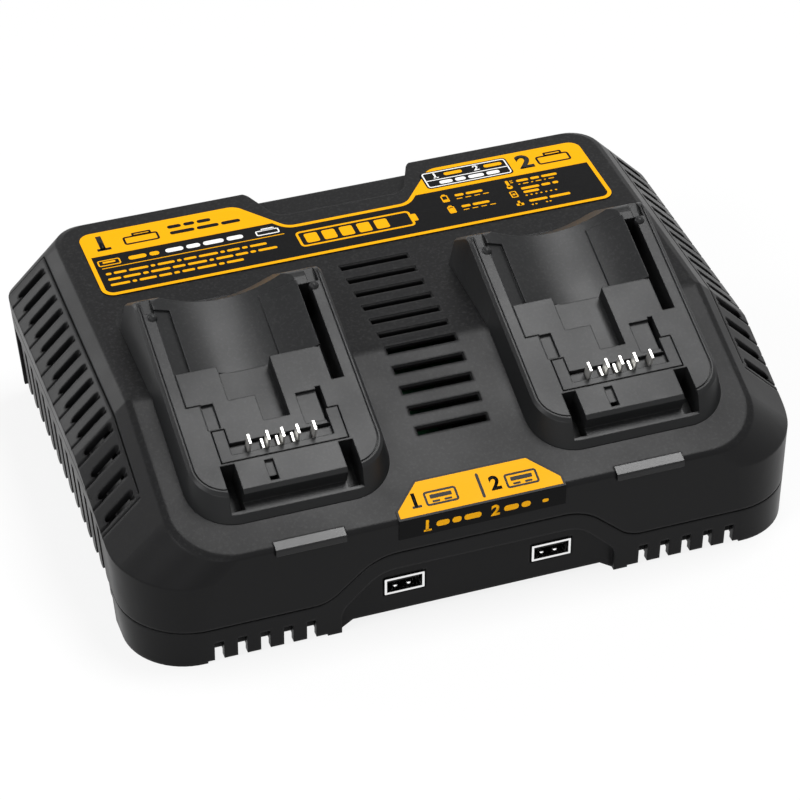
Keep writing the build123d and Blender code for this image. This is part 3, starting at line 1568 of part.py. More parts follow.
with BuildPart() as transformers:
    for side in (-1, 1):
        x = side * transformer_x
        width, depth, height = transformer_size
        half_depth = depth / 2
        along = (transformer_y - half_depth, transformer_y + half_depth)
        core = (x - width / 2, x + width / 2)
        block(Plane.XY, core, along, (main_board_top + winding_drop, main_board_top + height - winding_drop))
        coil = (x - width / 2 + winding_margin, x + width / 2 - winding_margin)
        inner_along = (along[0] - winding_reach, along[1] + winding_reach)
        heights = (main_board_top, main_board_top + height)
        block(Plane.XY, coil, inner_along, heights, corner=winding_reach)
transformers.part.label = "transformers"
export_step(transformers.part, "parts/transformers.step")

with BuildPart() as heat_sinks:
    for side in (-1, 1):
        plate = sorted((side * heat_sink_x, side * (heat_sink_x + heat_sink_plate)))
        heights = (main_board_top, heat_sink_top)
        block(Plane.XY, plate, (-heat_sink_half_length, heat_sink_half_length), heights)
        for i in range(heat_sink_fins):
            y = -heat_sink_half_length + i * heat_sink_pitch
            fin = sorted((side * heat_sink_x, side * (heat_sink_x + heat_sink_width)))
            block(Plane.XY, fin, (y, y + heat_sink_fin), heights)
heat_sinks.part.label = "heat_sinks"
export_step(heat_sinks.part, "parts/heat_sinks.step")

with BuildPart() as power_transistors:
    width, depth, height = transistor_size
    for side in (-1, 1):
        for y in transistor_places:
            across_body = sorted((side * (heat_sink_x - width), side * heat_sink_x))
            along_body = (y - depth / 2, y + depth / 2)
            lift = main_board_top + transistor_lift
            block(Plane.XY, across_body, along_body, (lift, lift + height))
            middle = side * (heat_sink_x - width / 2)
            for leg in (-1, 0, 1):
                leg_x = (middle - leg_width / 2, middle + leg_width / 2)
                leg_middle = y + leg * leg_pitch
                leg_y = (leg_middle - leg_width / 2, leg_middle + leg_width / 2)
                block(Plane.XY, leg_x, leg_y, (main_board_top, lift))
power_transistors.part.label = "power_transistors"
export_step(power_transistors.part, "parts/power_transistors.step")

output_inductors = cans_on_board(inductor_places, inductor_radius, inductor_height, inductor_bore)
output_inductors.label = "output_inductors"
export_step(output_inductors, "parts/output_inductors.step")

bulk_capacitors = cans_on_board(capacitor_places, capacitor_radius, capacitor_height)
bulk_capacitors.label = "bulk_capacitors"
export_step(bulk_capacitors, "parts/bulk_capacitors.step")

relays = on_board(relay_places, relay_size)
relays.label = "relays"
export_step(relays, "parts/relays.step")

inlet_terminal = on_board(((inlet_x, inlet_terminal_y),), inlet_terminal_size)
inlet_terminal.label = "inlet_terminal"
export_step(inlet_terminal, "parts/inlet_terminal.step")

line_choke = on_board(((line_choke_x, line_choke_y),), line_choke_size, can_edge)
line_choke.label = "line_choke"
export_step(line_choke, "parts/line_choke.step")

bridge_rectifier = on_board(((rectifier_x, rectifier_y),), rectifier_size)
bridge_rectifier.label = "bridge_rectifier"
export_step(bridge_rectifier, "parts/bridge_rectifier.step")

film_capacitor = on_board(((film_capacitor_x, film_capacitor_y),), film_capacitor_size)
film_capacitor.label = "film_capacitor"
export_step(film_capacitor, "parts/film_capacitor.step")

control_chips = on_board(chip_places, chip_size)
control_chips.label = "control_chips"
export_step(control_chips, "parts/control_chips.step")

with BuildPart() as fuse:
    half_length = fuse_length / 2
    along = (fuse_y - half_length, fuse_y + half_length)
    end_plane = upright_plane(along[1])
    axis_z = main_board_top + fuse_lift
    rod(end_plane, (fuse_x, axis_z), fuse_radius, (0, fuse_length))
    for y in (along[0], along[1] - fuse_clip):
        clip = (fuse_x - fuse_radius, fuse_x + fuse_radius)
        block(Plane.XY, clip, (y, y + fuse_clip), (main_board_top, axis_z))
fuse.part.label = "fuse"
export_step(fuse.part, "parts/fuse.step")
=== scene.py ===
import math

import bpy
from mathutils import Matrix, Vector


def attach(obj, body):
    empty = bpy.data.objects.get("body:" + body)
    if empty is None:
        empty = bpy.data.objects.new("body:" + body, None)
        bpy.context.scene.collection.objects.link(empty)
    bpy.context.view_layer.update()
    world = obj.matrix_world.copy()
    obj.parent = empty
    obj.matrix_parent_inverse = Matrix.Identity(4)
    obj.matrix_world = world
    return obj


# Dress of the two-bay charger. Lengths are in metres, in the frame of the CAD model:
# +Z up, -Y towards the user, origin on the table under the middle of the case.

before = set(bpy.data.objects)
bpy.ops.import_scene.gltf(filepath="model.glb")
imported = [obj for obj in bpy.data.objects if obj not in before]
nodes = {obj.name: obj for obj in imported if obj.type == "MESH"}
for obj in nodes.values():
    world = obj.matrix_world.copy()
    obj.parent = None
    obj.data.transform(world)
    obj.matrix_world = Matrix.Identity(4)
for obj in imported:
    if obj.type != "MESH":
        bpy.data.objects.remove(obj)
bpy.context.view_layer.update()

MM = 0.001
DECK_HEIGHT = 67.0 * MM
DECK_SLOPE = math.radians(19.8)
CREASE_Y = -20.6 * MM
FRONT_EDGE_Y = -84.3 * MM
FRONT_DRAFT = math.radians(2.1)
LABEL_THICKNESS = 0.3 * MM
PRINT_THICKNESS = 0.06 * MM
LABEL_BORDER = 1.5 * MM
LABEL_OUTLINE = 0.8 * MM
HEADER_Y = 61.7 * MM + LABEL_BORDER  # where the header bands of the top label start
SOCKET_Z = 14.1 * MM
SOCKET_SHELL_HEIGHT = 5.7 * MM
SOCKET_SHELL_WALL = 0.3 * MM
FLAT = math.cos(math.radians(5.0))  # a face counts as flat within this
ONE_PLANE = math.radians(1.0)  # faces within this are dissolved into one
WELD = 0.002 * MM


# ---- Hand tools -----------------------------------------------------------------------
def take(obj):
    """Make one object the only one selected, and active."""
    bpy.ops.object.select_all(action="DESELECT")
    obj.select_set(True)
    bpy.context.view_layer.objects.active = obj


def edit(obj):
    take(obj)
    bpy.ops.object.mode_set(mode="EDIT")
    bpy.ops.mesh.select_mode(type="FACE")


def leave_edit():
    bpy.ops.object.mode_set(mode="OBJECT")


def choose_faces(obj, test):
    """In edit mode, select the faces whose middle and normal pass a test."""
    bpy.ops.mesh.select_all(action="DESELECT")
    bpy.ops.object.mode_set(mode="OBJECT")
    for face in obj.data.polygons:
        face.select = bool(test(face.center, face.normal))
    bpy.ops.object.mode_set(mode="EDIT")


def copy_of_node(name, new_name):
    """A welded copy of a CAD node with its flat faces whole, to start a new piece from."""
    take(nodes[name])
    bpy.ops.object.duplicate()
    piece = bpy.context.active_object
    piece.name = new_name
    edit(piece)
    bpy.ops.mesh.select_all(action="SELECT")
    bpy.ops.mesh.remove_doubles(threshold=WELD)
    bpy.ops.mesh.select_all(action="SELECT")
    bpy.ops.mesh.dissolve_limited(angle_limit=ONE_PLANE)
    leave_edit()
    return piece


def settle(piece, name, finish):
    """Give a finished piece its name, finish and body, with its place in its mesh."""
    take(piece)
    bpy.ops.object.transform_apply(location=True, rotation=True, scale=True)
    piece.name = name
    piece.data.name = name
    piece.data.materials.clear()
    piece.data.materials.append(finish)
    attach(piece, "root")
    return piece


def joined(pieces):
    bpy.ops.object.select_all(action="DESELECT")
    for piece in pieces:
        piece.select_set(True)
    bpy.context.view_layer.objects.active = pieces[0]
    bpy.ops.object.join()
    return bpy.context.active_object


# ---- Node helpers ---------------------------------------------------------------------
def set_inputs(node, values):
    for name, value in values.items():
        node.inputs[name].default_value = value


def new_material(name):
    material = bpy.data.materials.new(name)
    material.use_nodes = True
    tree = material.node_tree
    tree.nodes.clear()
    output = tree.nodes.new("ShaderNodeOutputMaterial")
    surface = tree.nodes.new("ShaderNodeBsdfPrincipled")
    tree.links.new(surface.outputs["BSDF"], output.inputs["Surface"])
    return material, tree, surface


def new_group(name, inputs, outputs):
    """A shader node group with named sockets; inputs are given as name: (type, value)."""
    group = bpy.data.node_groups.new(name, "ShaderNodeTree")
    for label, (kind, value) in inputs.items():
        socket = group.interface.new_socket(label, in_out="INPUT", socket_type=kind)
        if value is not None:
            socket.default_value = value
    for label, kind in outputs.items():
        group.interface.new_socket(label, in_out="OUTPUT", socket_type=kind)
    start = group.nodes.new("NodeGroupInput")
    end = group.nodes.new("NodeGroupOutput")
    return group, start, end


def math_node(tree, operation, first, second):
    """A Math node; each side is a number or a socket."""
    node = tree.nodes.new("ShaderNodeMath")
    node.operation = operation
    for i, side in enumerate((first, second)):
        if isinstance(side, (int, float)):
            node.inputs[i].default_value = side
        else:
            tree.links.new(side, node.inputs[i])
    return node.outputs[0]


def mix_colour(tree, factor, low, high):
    node = tree.nodes.new("ShaderNodeMix")
    node.data_type = "RGBA"
    for name, side in (("Factor", factor), ("A", low), ("B", high)):
        socket = [s for s in node.inputs if s.name == name and s.enabled][0]
        if isinstance(side, (int, float, tuple)):
            socket.default_value = side
        else:
            tree.links.new(side, socket)
    return [s for s in node.outputs if s.enabled][0]


def place_group(tree, group, values):
    node = tree.nodes.new("ShaderNodeGroup")
    node.node_tree = group
    set_inputs(node, values)
    coordinates = tree.nodes.new("ShaderNodeTexCoord")
    tree.links.new(coordinates.outputs["Object"], node.inputs["Place"])
    return node


# ---- Shared effects -------------------------------------------------------------------
def grain_group():
    """Spark eroded grain of moulded plastic: a height, and an uneven gloss."""
    inputs = {
        "Place": ("NodeSocketVector", None),
        "Grains per metre": ("NodeSocketFloat", 2200.0),
        "Gloss low": ("NodeSocketFloat", 0.4),
        "Gloss high": ("NodeSocketFloat", 0.5),
    }
    outputs = {"Height": "NodeSocketFloat", "Roughness": "NodeSocketFloat"}
    group, start, end = new_group("moulded grain", inputs, outputs)
    pits = group.nodes.new("ShaderNodeTexNoise")
    pits.inputs["Detail"].default_value = 2.0
    pits.inputs["Roughness"].default_value = 0.6
    group.links.new(start.outputs["Place"], pits.inputs["Vector"])
    group.links.new(start.outputs["Grains per metre"], pits.inputs["Scale"])
    group.links.new(pits.outputs["Fac"], end.inputs["Height"])
    clouds = group.nodes.new("ShaderNodeTexNoise")
    set_inputs(clouds, {"Scale": 38.0, "Detail": 3.0})
    group.links.new(start.outputs["Place"], clouds.inputs["Vector"])
    spread = group.nodes.new("ShaderNodeMapRange")
    set_inputs(spread, {"From Min": 0.35, "From Max": 0.65})
    group.links.new(clouds.outputs["Fac"], spread.inputs["Value"])
    group.links.new(start.outputs["Gloss low"], spread.inputs["To Min"])
    group.links.new(start.outputs["Gloss high"], spread.inputs["To Max"])
    group.links.new(spread.outputs["Result"], end.inputs["Roughness"])
    return group


def dust_group():
    """Fine dust that settles on what faces up, as a mask."""
    inputs = {"Place": ("NodeSocketVector", None), "Amount": ("NodeSocketFloat", 0.1)}
    group, start, end = new_group("settled dust", inputs, {"Mask": "NodeSocketFloat"})
    surface = group.nodes.new("ShaderNodeNewGeometry")
    parts = group.nodes.new("ShaderNodeSeparateXYZ")
    group.links.new(surface.outputs["Normal"], parts.inputs["Vector"])
    facing = group.nodes.new("ShaderNodeMapRange")
    set_inputs(facing, {"From Min": 0.6, "From Max": 1.0})
    group.links.new(parts.outputs["Z"], facing.inputs["Value"])
    specks = group.nodes.new("ShaderNodeTexNoise")
    set_inputs(specks, {"Scale": 900.0, "Detail": 4.0, "Roughness": 0.7})
    group.links.new(start.outputs["Place"], specks.inputs["Vector"])
    picked = group.nodes.new("ShaderNodeMapRange")
    set_inputs(picked, {"From Min": 0.5, "From Max": 0.8})
    group.links.new(specks.outputs["Fac"], picked.inputs["Value"])
    both = math_node(group, "MULTIPLY", facing.outputs["Result"], picked.outputs["Result"])
    amount = math_node(group, "MULTIPLY", both, start.outputs["Amount"])
    group.links.new(amount, end.inputs["Mask"])
    return group


def brushed_group():
    """Drawn lines along one direction of a metal part: a height and an uneven gloss."""
    inputs = {
        "Place": ("NodeSocketVector", None),
        "Across": ("NodeSocketVector", (1.0, 1.0, 1.0)),
        "Gloss low": ("NodeSocketFloat", 0.2),
        "Gloss high": ("NodeSocketFloat", 0.35),
    }
    outputs = {"Height": "NodeSocketFloat", "Roughness": "NodeSocketFloat"}
    group, start, end = new_group("drawn metal", inputs, outputs)
    stretch = group.nodes.new("ShaderNodeVectorMath")
    stretch.operation = "MULTIPLY"
    group.links.new(start.outputs["Place"], stretch.inputs[0])
    group.links.new(start.outputs["Across"], stretch.inputs[1])
    lines = group.nodes.new("ShaderNodeTexNoise")
    set_inputs(lines, {"Scale": 1.0, "Detail": 3.0})
    group.links.new(stretch.outputs["Vector"], lines.inputs["Vector"])
    group.links.new(lines.outputs["Fac"], end.inputs["Height"])
    spread = group.nodes.new("ShaderNodeMapRange")
    group.links.new(lines.outputs["Fac"], spread.inputs["Value"])
    group.links.new(start.outputs["Gloss low"], spread.inputs["To Min"])
    group.links.new(start.outputs["Gloss high"], spread.inputs["To Max"])
    group.links.new(spread.outputs["Result"], end.inputs["Roughness"])
    return group


GRAIN = grain_group()
DUST = dust_group()
DRAWN = brushed_group()


def soft_edge_bump(tree, surface, height, distance, strength, edge_radius):
    """Feed a height to the surface's normal, over edges rounded by a small radius."""
    bump = tree.nodes.new("ShaderNodeBump")
    set_inputs(bump, {"Strength": strength, "Distance": distance})
    tree.links.new(height, bump.inputs["Height"])
    if edge_radius:
        edge = tree.nodes.new("ShaderNodeBevel")
        edge.samples = 4
        edge.inputs["Radius"].default_value = edge_radius
        tree.links.new(edge.outputs["Normal"], bump.inputs["Normal"])
    tree.links.new(bump.outputs["Normal"], surface.inputs["Normal"])


def moulded_plastic(name, colour, gloss, dust=0.06, grain=2200.0, depth=0.02 * MM,
                    edge_radius=0.35 * MM, specular=0.16):
    """Injection moulded plastic with a fine grain, soft edges and a little dust."""
    material, tree, surface = new_material(name)
    values = {"Grains per metre": grain, "Gloss low": gloss[0], "Gloss high": gloss[1]}
    skin = place_group(tree, GRAIN, values)
    settled = place_group(tree, DUST, {"Amount": dust})
    dusty = tuple(0.35 + 0.65 * c for c in colour) + (1.0,)
    shade = mix_colour(tree, settled.outputs["Mask"], colour + (1.0,), dusty)
    tree.links.new(shade, surface.inputs["Base Color"])
    tree.links.new(skin.outputs["Roughness"], surface.inputs["Roughness"])
    surface.inputs["Specular IOR Level"].default_value = specular
    soft_edge_bump(tree, surface, skin.outputs["Height"], depth, 0.5, edge_radius)
    return material


def plated_metal(name, colour, gloss, across, edge_radius=0.1 * MM):
    """Bright plated sheet metal with fine drawn lines."""
    material, tree, surface = new_material(name)
    values = {"Across": across, "Gloss low": gloss[0], "Gloss high": gloss[1]}
    skin = place_group(tree, DRAWN, values)
    surface.inputs["Base Color"].default_value = colour + (1.0,)
    surface.inputs["Metallic"].default_value = 1.0
    tree.links.new(skin.outputs["Roughness"], surface.inputs["Roughness"])
    soft_edge_bump(tree, surface, skin.outputs["Height"], 0.004 * MM, 0.4, edge_radius)
    return material


# ---- Finishes -------------------------------------------------------------------------
def label_ink(name, colour, gloss, dust, specular=0.16):
    """Smooth film or ink of a printed label."""
    return moulded_plastic(name, colour, gloss, dust=dust, grain=900.0, depth=0.004 * MM,
                           edge_radius=0.0, specular=specular)


def smoked_lens():
    """Smoked clear plastic of the status lights."""
    material, tree, surface = new_material("smoked lens")
    values = {"Grains per metre": 500.0, "Gloss low": 0.22, "Gloss high": 0.3}
    skin = place_group(tree, GRAIN, values)
    surface.inputs["Base Color"].default_value = (0.008, 0.008, 0.0085, 1.0)
    surface.inputs["Transmission Weight"].default_value = 0.15
    surface.inputs["Specular IOR Level"].default_value = 0.22
    surface.inputs["IOR"].default_value = 1.49
    tree.links.new(skin.outputs["Roughness"], surface.inputs["Roughness"])
    soft_edge_bump(tree, surface, skin.outputs["Height"], 0.01 * MM, 0.2, 0.25 * MM)
    return material


charcoal = (0.0065, 0.0065, 0.0069)
bay_black = (0.011, 0.0113, 0.0118)
finishes = {
    "housing": moulded_plastic("charcoal housing plastic", charcoal, (0.32, 0.40),
                               edge_radius=1.2 * MM, specular=0.1),
    "bay": moulded_plastic("bay plastic", bay_black, (0.30, 0.38), grain=2600.0,
                           edge_radius=0.5 * MM, specular=0.16),
    "rubber": moulded_plastic("black rubber", (0.012, 0.012, 0.012), (0.6, 0.75), specular=0.2),
    "insert": moulded_plastic("socket insert plastic", (0.006, 0.006, 0.006), (0.35, 0.45),
                              dust=0.0),
    "print_black": label_ink("black label film", (0.0025, 0.0025, 0.0028), (0.22, 0.3),
                             dust=0.01, specular=0.06),
    "print_yellow": label_ink("yellow label ink", (0.83, 0.385, 0.004), (0.4, 0.5),
                              dust=0.01, specular=0.05),
    "print_white": label_ink("white label ink", (0.85, 0.85, 0.84), (0.32, 0.4), dust=0.0),
    "lens": smoked_lens(),
    "blade": plated_metal("plated contact blade", (0.86, 0.85, 0.82), (0.38, 0.5),
                          (600.0, 600.0, 9000.0)),
    "shell": plated_metal("plated socket shell", (0.88, 0.88, 0.88), (0.1, 0.24),
                          (2500.0, 200.0, 6000.0)),
    "zinc": plated_metal("zinc plated screw", (0.6, 0.6, 0.58), (0.3, 0.45),
                         (900.0, 900.0, 900.0)),
    "heat_sink": plated_metal("extruded aluminium", (0.72, 0.72, 0.73), (0.3, 0.45),
                              (300.0, 5000.0, 300.0)),
    "board": moulded_plastic("green solder resist", (0.012, 0.09, 0.035), (0.25, 0.35),
                             dust=0.05, grain=700.0, edge_radius=0.1 * MM),
    "winding": moulded_plastic("lacquered winding", (0.28, 0.1, 0.02), (0.25, 0.4),
                               grain=1500.0, depth=0.1 * MM),
    "can": moulded_plastic("sleeved can", (0.012, 0.014, 0.03), (0.2, 0.3), grain=600.0),
    "component": moulded_plastic("black component case", (0.015, 0.015, 0.015), (0.4, 0.55)),
    "lead": moulded_plastic("red lead insulation", (0.4, 0.015, 0.01), (0.35, 0.45)),
}
finish_of = {
    "housing": ("top_shell", "bottom_shell"),
    "bay": ("left_battery_bay", "right_battery_bay", "left_terminal_block", "right_terminal_block"),
    "rubber": ("rubber_feet", "cord_grommet"),
    "insert": ("left_usb_socket_tongue", "right_usb_socket_tongue"),
    "print_black": ("top_label", "front_label"),
    "lens": ("left_status_light_lens", "right_status_light_lens"),
    "blade": ("left_contact_blades", "right_contact_blades"),
    "shell": ("left_usb_socket_shell", "right_usb_socket_shell"),
    "zinc": ("housing_screws", "board_screws", "terminal_screws"),
    "heat_sink": ("heat_sinks",),
    "board": ("main_board", "usb_board", "left_terminal_board", "right_terminal_board",
              "left_status_light_board", "right_status_light_board"),
    "winding": ("transformers", "output_inductors", "usb_coils"),
    "can": ("bulk_capacitors",),
    "component": ("power_transistors", "relays", "bridge_rectifier", "control_chips", "line_choke",
                  "film_capacitor", "inlet_terminal", "fuse"),
    "lead": ("left_battery_leads", "right_battery_leads", "usb_ribbon"),
}
for finish, names in finish_of.items():
    for name in names:
        nodes[name].data.materials.clear()
        nodes[name].data.materials.append(finishes[finish])


# ---- Printed labels -------------------------------------------------------------------
FRONT_EDGE_Z = DECK_HEIGHT - (CREASE_Y - FRONT_EDGE_Y) * math.tan(DECK_SLOPE)
ON_LABEL = Matrix.Translation((0, 0, LABEL_THICKNESS))
ON_BORDER = Matrix.Translation((0, 0, LABEL_THICKNESS + PRINT_THICKNESS))
TOP_PLACE = Matrix.Translation((0, 0, DECK_HEIGHT))
SLOPE_PLACE = Matrix.Translation((0, CREASE_Y, DECK_HEIGHT)) @ Matrix.Rotation(DECK_SLOPE, 4, "X")
BAND_PLACE = (Matrix.Translation((0, FRONT_EDGE_Y, FRONT_EDGE_Z))
              @ Matrix.Rotation(math.radians(90) + FRONT_DRAFT, 4, "X"))
SLOPE_NORMAL = Vector((0, -math.sin(DECK_SLOPE), math.cos(DECK_SLOPE)))


def lift(piece, direction):
    """Give a flat print its thickness, standing on the label."""
    edit(piece)
    bpy.ops.mesh.select_all(action="SELECT")
    shift = Vector(direction) * PRINT_THICKNESS
    bpy.ops.mesh.extrude_region_move(TRANSFORM_OT_translate={"value": shift})
    bpy.ops.mesh.select_all(action="SELECT")
    bpy.ops.mesh.normals_make_consistent(inside=False)
    leave_edit()


def top_label_border():
    """Yellow frame of the top label, with the two header bands behind."""
    piece = copy_of_node("top_label", "top_label_border")
    edit(piece)
    choose_faces(piece, lambda middle, normal: normal.z < FLAT)
    bpy.ops.mesh.delete(type="FACE")
    bpy.ops.mesh.select_all(action="SELECT")
    bpy.ops.mesh.bisect(plane_co=(0, HEADER_Y, DECK_HEIGHT), plane_no=(0, 1, 0))
    choose_faces(piece, lambda middle, normal: middle.y < HEADER_Y - LABEL_BORDER)
    bpy.ops.mesh.inset(thickness=LABEL_BORDER, use_boundary=True, use_even_offset=True)
    bpy.ops.mesh.delete(type="FACE")
    leave_edit()
    lift(piece, (0, 0, 1))
    return settle(piece, "top_label_border", finishes["print_yellow"])


def front_label_field():
    """Yellow field of the front label, inside a thin dark outline."""
    piece = copy_of_node("front_label", "front_label_field")
    edit(piece)
    choose_faces(piece, lambda middle, normal: normal.dot(SLOPE_NORMAL) < FLAT)
    bpy.ops.mesh.delete(type="FACE")
    bpy.ops.mesh.select_all(action="SELECT")
    bpy.ops.mesh.inset(thickness=LABEL_OUTLINE, use_boundary=True, use_even_offset=True)
    bpy.ops.mesh.select_all(action="INVERT")
    bpy.ops.mesh.delete(type="FACE")
    leave_edit()
    lift(piece, SLOPE_NORMAL)
    return settle(piece, "front_label_field", finishes["print_yellow"])


def plate(width, height, corner, place):
    """A flat rounded plate, in millimetres, in the plane of a print."""
    bpy.ops.object.select_all(action="DESELECT")
    bpy.ops.mesh.primitive_plane_add(size=MM, location=(place[0] * MM, place[1] * MM, 0))
    piece = bpy.context.active_object
    piece.scale = (width, height, 1.0)
    bpy.ops.object.transform_apply(location=True, rotation=True, scale=True)
    edit(piece)
    bpy.ops.mesh.select_all(action="SELECT")
    bpy.ops.mesh.bevel(offset=corner * MM, segments=4, affect="VERTICES")
    leave_edit()
    return piece


def outline(width, height, corner, line, place):
    """A rounded frame of one line width."""
    piece = plate(width, height, corner, place)
    edit(piece)
    bpy.ops.mesh.select_all(action="SELECT")
    bpy.ops.mesh.inset(thickness=line * MM, use_boundary=True, use_even_offset=True)
    bpy.ops.mesh.delete(type="FACE")
    leave_edit()
    return piece


def copied(piece, shift):
    """A copy of a print with its own mesh, moved in the plane of the print."""
    take(piece)
    bpy.ops.object.duplicate()
    twin = bpy.context.active_object
    edit(twin)
    bpy.ops.mesh.select_all(action="SELECT")
    bpy.ops.transform.translate(value=(shift[0] * MM, shift[1] * MM, 0))
    leave_edit()
    return twin


def figure(digit, height, place):
    """A plain printed number, as flat meshes. A one gets a foot, so that it reads as a one."""
    bpy.ops.object.select_all(action="DESELECT")
    bpy.ops.object.text_add(location=(place[0] * MM, place[1] * MM, 0))
    text = bpy.context.active_object
    text.data.body = digit
    text.data.size = 1.4 * height * MM  # capitals of the built-in face are 0.7 of its size
    text.data.offset = 0.05 * height * MM  # makes the strokes bolder
    text.data.align_x = "CENTER"
    text.data.align_y = "CENTER"
    bpy.ops.object.convert(target="MESH")
    piece = bpy.context.active_object
    bpy.ops.object.transform_apply(location=True, rotation=True, scale=True)
    edit(piece)
    bpy.ops.mesh.select_all(action="SELECT")
    bpy.ops.mesh.remove_doubles(threshold=0.001 * MM)
    bpy.ops.mesh.select_all(action="SELECT")
    bpy.ops.mesh.dissolve_limited(angle_limit=ONE_PLANE)
    leave_edit()
    if digit != "1":
        return [piece]
    foot_place = (place[0] + 0.04 * height, place[1] - 0.44 * height)
    return [piece, plate(0.62 * height, 0.17 * height, 0.02 * height, foot_place)]


def dash_row(lengths, gap, height, start):
    """A row of dashes, each length modelled once and then copied along the row."""
    made = {}
    row = []
    x = start[0]
    for length in lengths:
        middle = x + length / 2
        if length in made:
            first, first_middle = made[length]
            row.append(copied(first, (middle - first_middle, 0)))
        else:
            dash = plate(length, height, 0.45 * height, (middle, start[1]))
            made[length] = (dash, middle)
            row.append(dash)
        x += length + gap
    return row


def battery_sign(width, height, line, place):
    """A battery seen from the side: an outlined block with its stepped foot on top."""
    body = outline(width, height, 0.22 * height, line, place)
    foot = outline(0.55 * width, 0.42 * height, 0.1 * height, line,
                   (place[0] + 0.06 * width, place[1] + 0.62 * height))
    return [body, foot]


def gauge_sign(width, height, line, place, bars, filled):
    """A plain charge gauge: a rounded outline, its tip and upright bars."""
    signs = [outline(width, height, 0.18 * height, line, place)]
    tip_x = place[0] + width / 2 + 0.09 * height
    signs.append(plate(0.18 * height, 0.45 * height, 0.05 * height, (tip_x, place[1])))
    inside = width - 4 * line
    pitch = inside / bars
    first_x = place[0] - inside / 2 + pitch / 2
    bar = plate(0.74 * pitch, height - 4.4 * line, 0.08 * height, (first_x, place[1]))
    signs.append(bar)
    signs += [copied(bar, (pitch * i, 0)) for i in range(1, filled)]
    return signs


def socket_sign(place):
    """A plain two-pole socket sign: an outlined mouth with a bar inside."""
    return [
        outline(11.5, 5.6, 1.0, 0.75, place),
        plate(7.6, 1.5, 0.3, (place[0], place[1] + 0.55)),
        plate(2.6, 0.75, 0.2, (place[0] - 2.1, place[1] - 1.35)),
        plate(2.6, 0.75, 0.2, (place[0] + 2.1, place[1] - 1.35)),
    ]


def thermometer_sign(place):
    """A tube with a round bulb, and two marks beside it."""
    return [
        plate(1.1, 4.2, 0.5, place),
        plate(2.2, 2.2, 1.05, (place[0], place[1] - 2.2)),
        plate(1.2, 0.45, 0.2, (place[0] + 1.7, place[1] + 0.4)),
        plate(1.2, 0.45, 0.2, (place[0] + 1.7, place[1] + 1.5)),
    ]


def printed(name, pieces, ink, place):
    """Join flat prints of one ink into a piece and stand it on its label."""
    piece = joined(pieces)
    lift(piece, (0, 0, 1))
    piece.matrix_world = place
    return settle(piece, name, finishes[ink])


def header_prints():
    """Black numbers, battery signs and dashes on the two yellow header bands."""
    figure_height, middle_y = 8.2, 69.0
    dash_gap, dash_height, sign_line = 1.0, 1.9, 0.8
    upper_row, lower_row = (-63.5, 71.2), (-63.5, 67.4)
    prints = figure("1", figure_height, (-88.5, middle_y))
    prints += battery_sign(13.0, 5.0, sign_line, (-74.0, 67.9))
    prints += dash_row((5.0, 4.0, 5.0), dash_gap, dash_height, upper_row)
    prints += dash_row((9.0, 8.0, 7.0), dash_gap, dash_height, lower_row)
    prints += figure("2", figure_height, (72.3, middle_y))
    prints += battery_sign(13.0, 5.4, sign_line, (83.3, 68.2))
    prints += [plate(33.6, 10.8, 1.6, (49.6, middle_y))]
    return prints


def box_prints():
    """White frame, numbers and dashes in the black box of the right header band."""
    middle, figure_height, upper_y = (49.6, 69.0), 3.1, 71.2
    prints = [outline(32.4, 9.6, 1.2, 0.5, middle)]
    prints += [plate(31.8, 0.45, 0.1, (middle[0], 68.6))]
    prints += figure("1", figure_height, (38.0, upper_y))
    prints += figure("2", figure_height, (54.0, upper_y))
    prints += dash_row((5.0, 4.0, 6.0, 5.0), 1.1, 2.0, (38.2, 66.5))
    return prints


def box_amber_prints():
    """One yellow dash after each number in the box."""
    return [dash for x in (41.5, 57.0) for dash in dash_row((7.0,), 1.0, 1.9, (x, 71.2))]


def notice_prints():
    """Socket sign, dashes, rule and three rows of small dashes in the left field."""
    prints = [outline(8.2, 3.6, 0.8, 0.5, (-88.6, 57.2)), plate(4.6, 1.0, 0.3, (-88.6, 57.5))]
    prints += dash_row((6.5, 3.5), 1.2, 2.3, (-81.5, 57.4))
    prints += [plate(67.0, 0.4, 0.15, (-58.5, 54.0))]
    small_rows = (
        (50.4, (2.0, 4.6, 7.0, 1.6, 6.2, 1.6, 4.6, 7.0, 1.6, 4.6, 2.0, 6.2)),
        (47.0, (4.6, 6.2, 2.0, 7.0, 4.6, 7.0, 1.6, 6.2, 4.6, 2.0, 7.0)),
        (43.6, (7.0, 1.6, 6.2, 4.6, 2.0, 4.6, 7.0, 2.0, 6.2)),
    )
    for y, lengths in small_rows:
        prints += dash_row(lengths, 0.9, 1.3, (-91.6, y))
    return prints


def charge_key_prints():
    """Two small charge signs, one low and one high, each with its dashes."""
    sign_x, dashes_x = 36.6, 40.6
    for y, level, drop in ((56.0, 1.2, 1.1), (48.6, 2.8, 0.3)):
        yield outline(2.6, 4.2, 0.5, 0.45, (sign_x, y))
        yield plate(1.3, 0.7, 0.15, (sign_x, y + 2.4))
        yield plate(1.6, level, 0.2, (sign_x, y - drop))
        yield from dash_row((3.4, 6.4), 0.9, 1.4, (dashes_x, y + 0.9))
        yield from dash_row((2.2, 2.2, 2.2, 2.2), 1.2, 0.45, (dashes_x, y - 1.3))


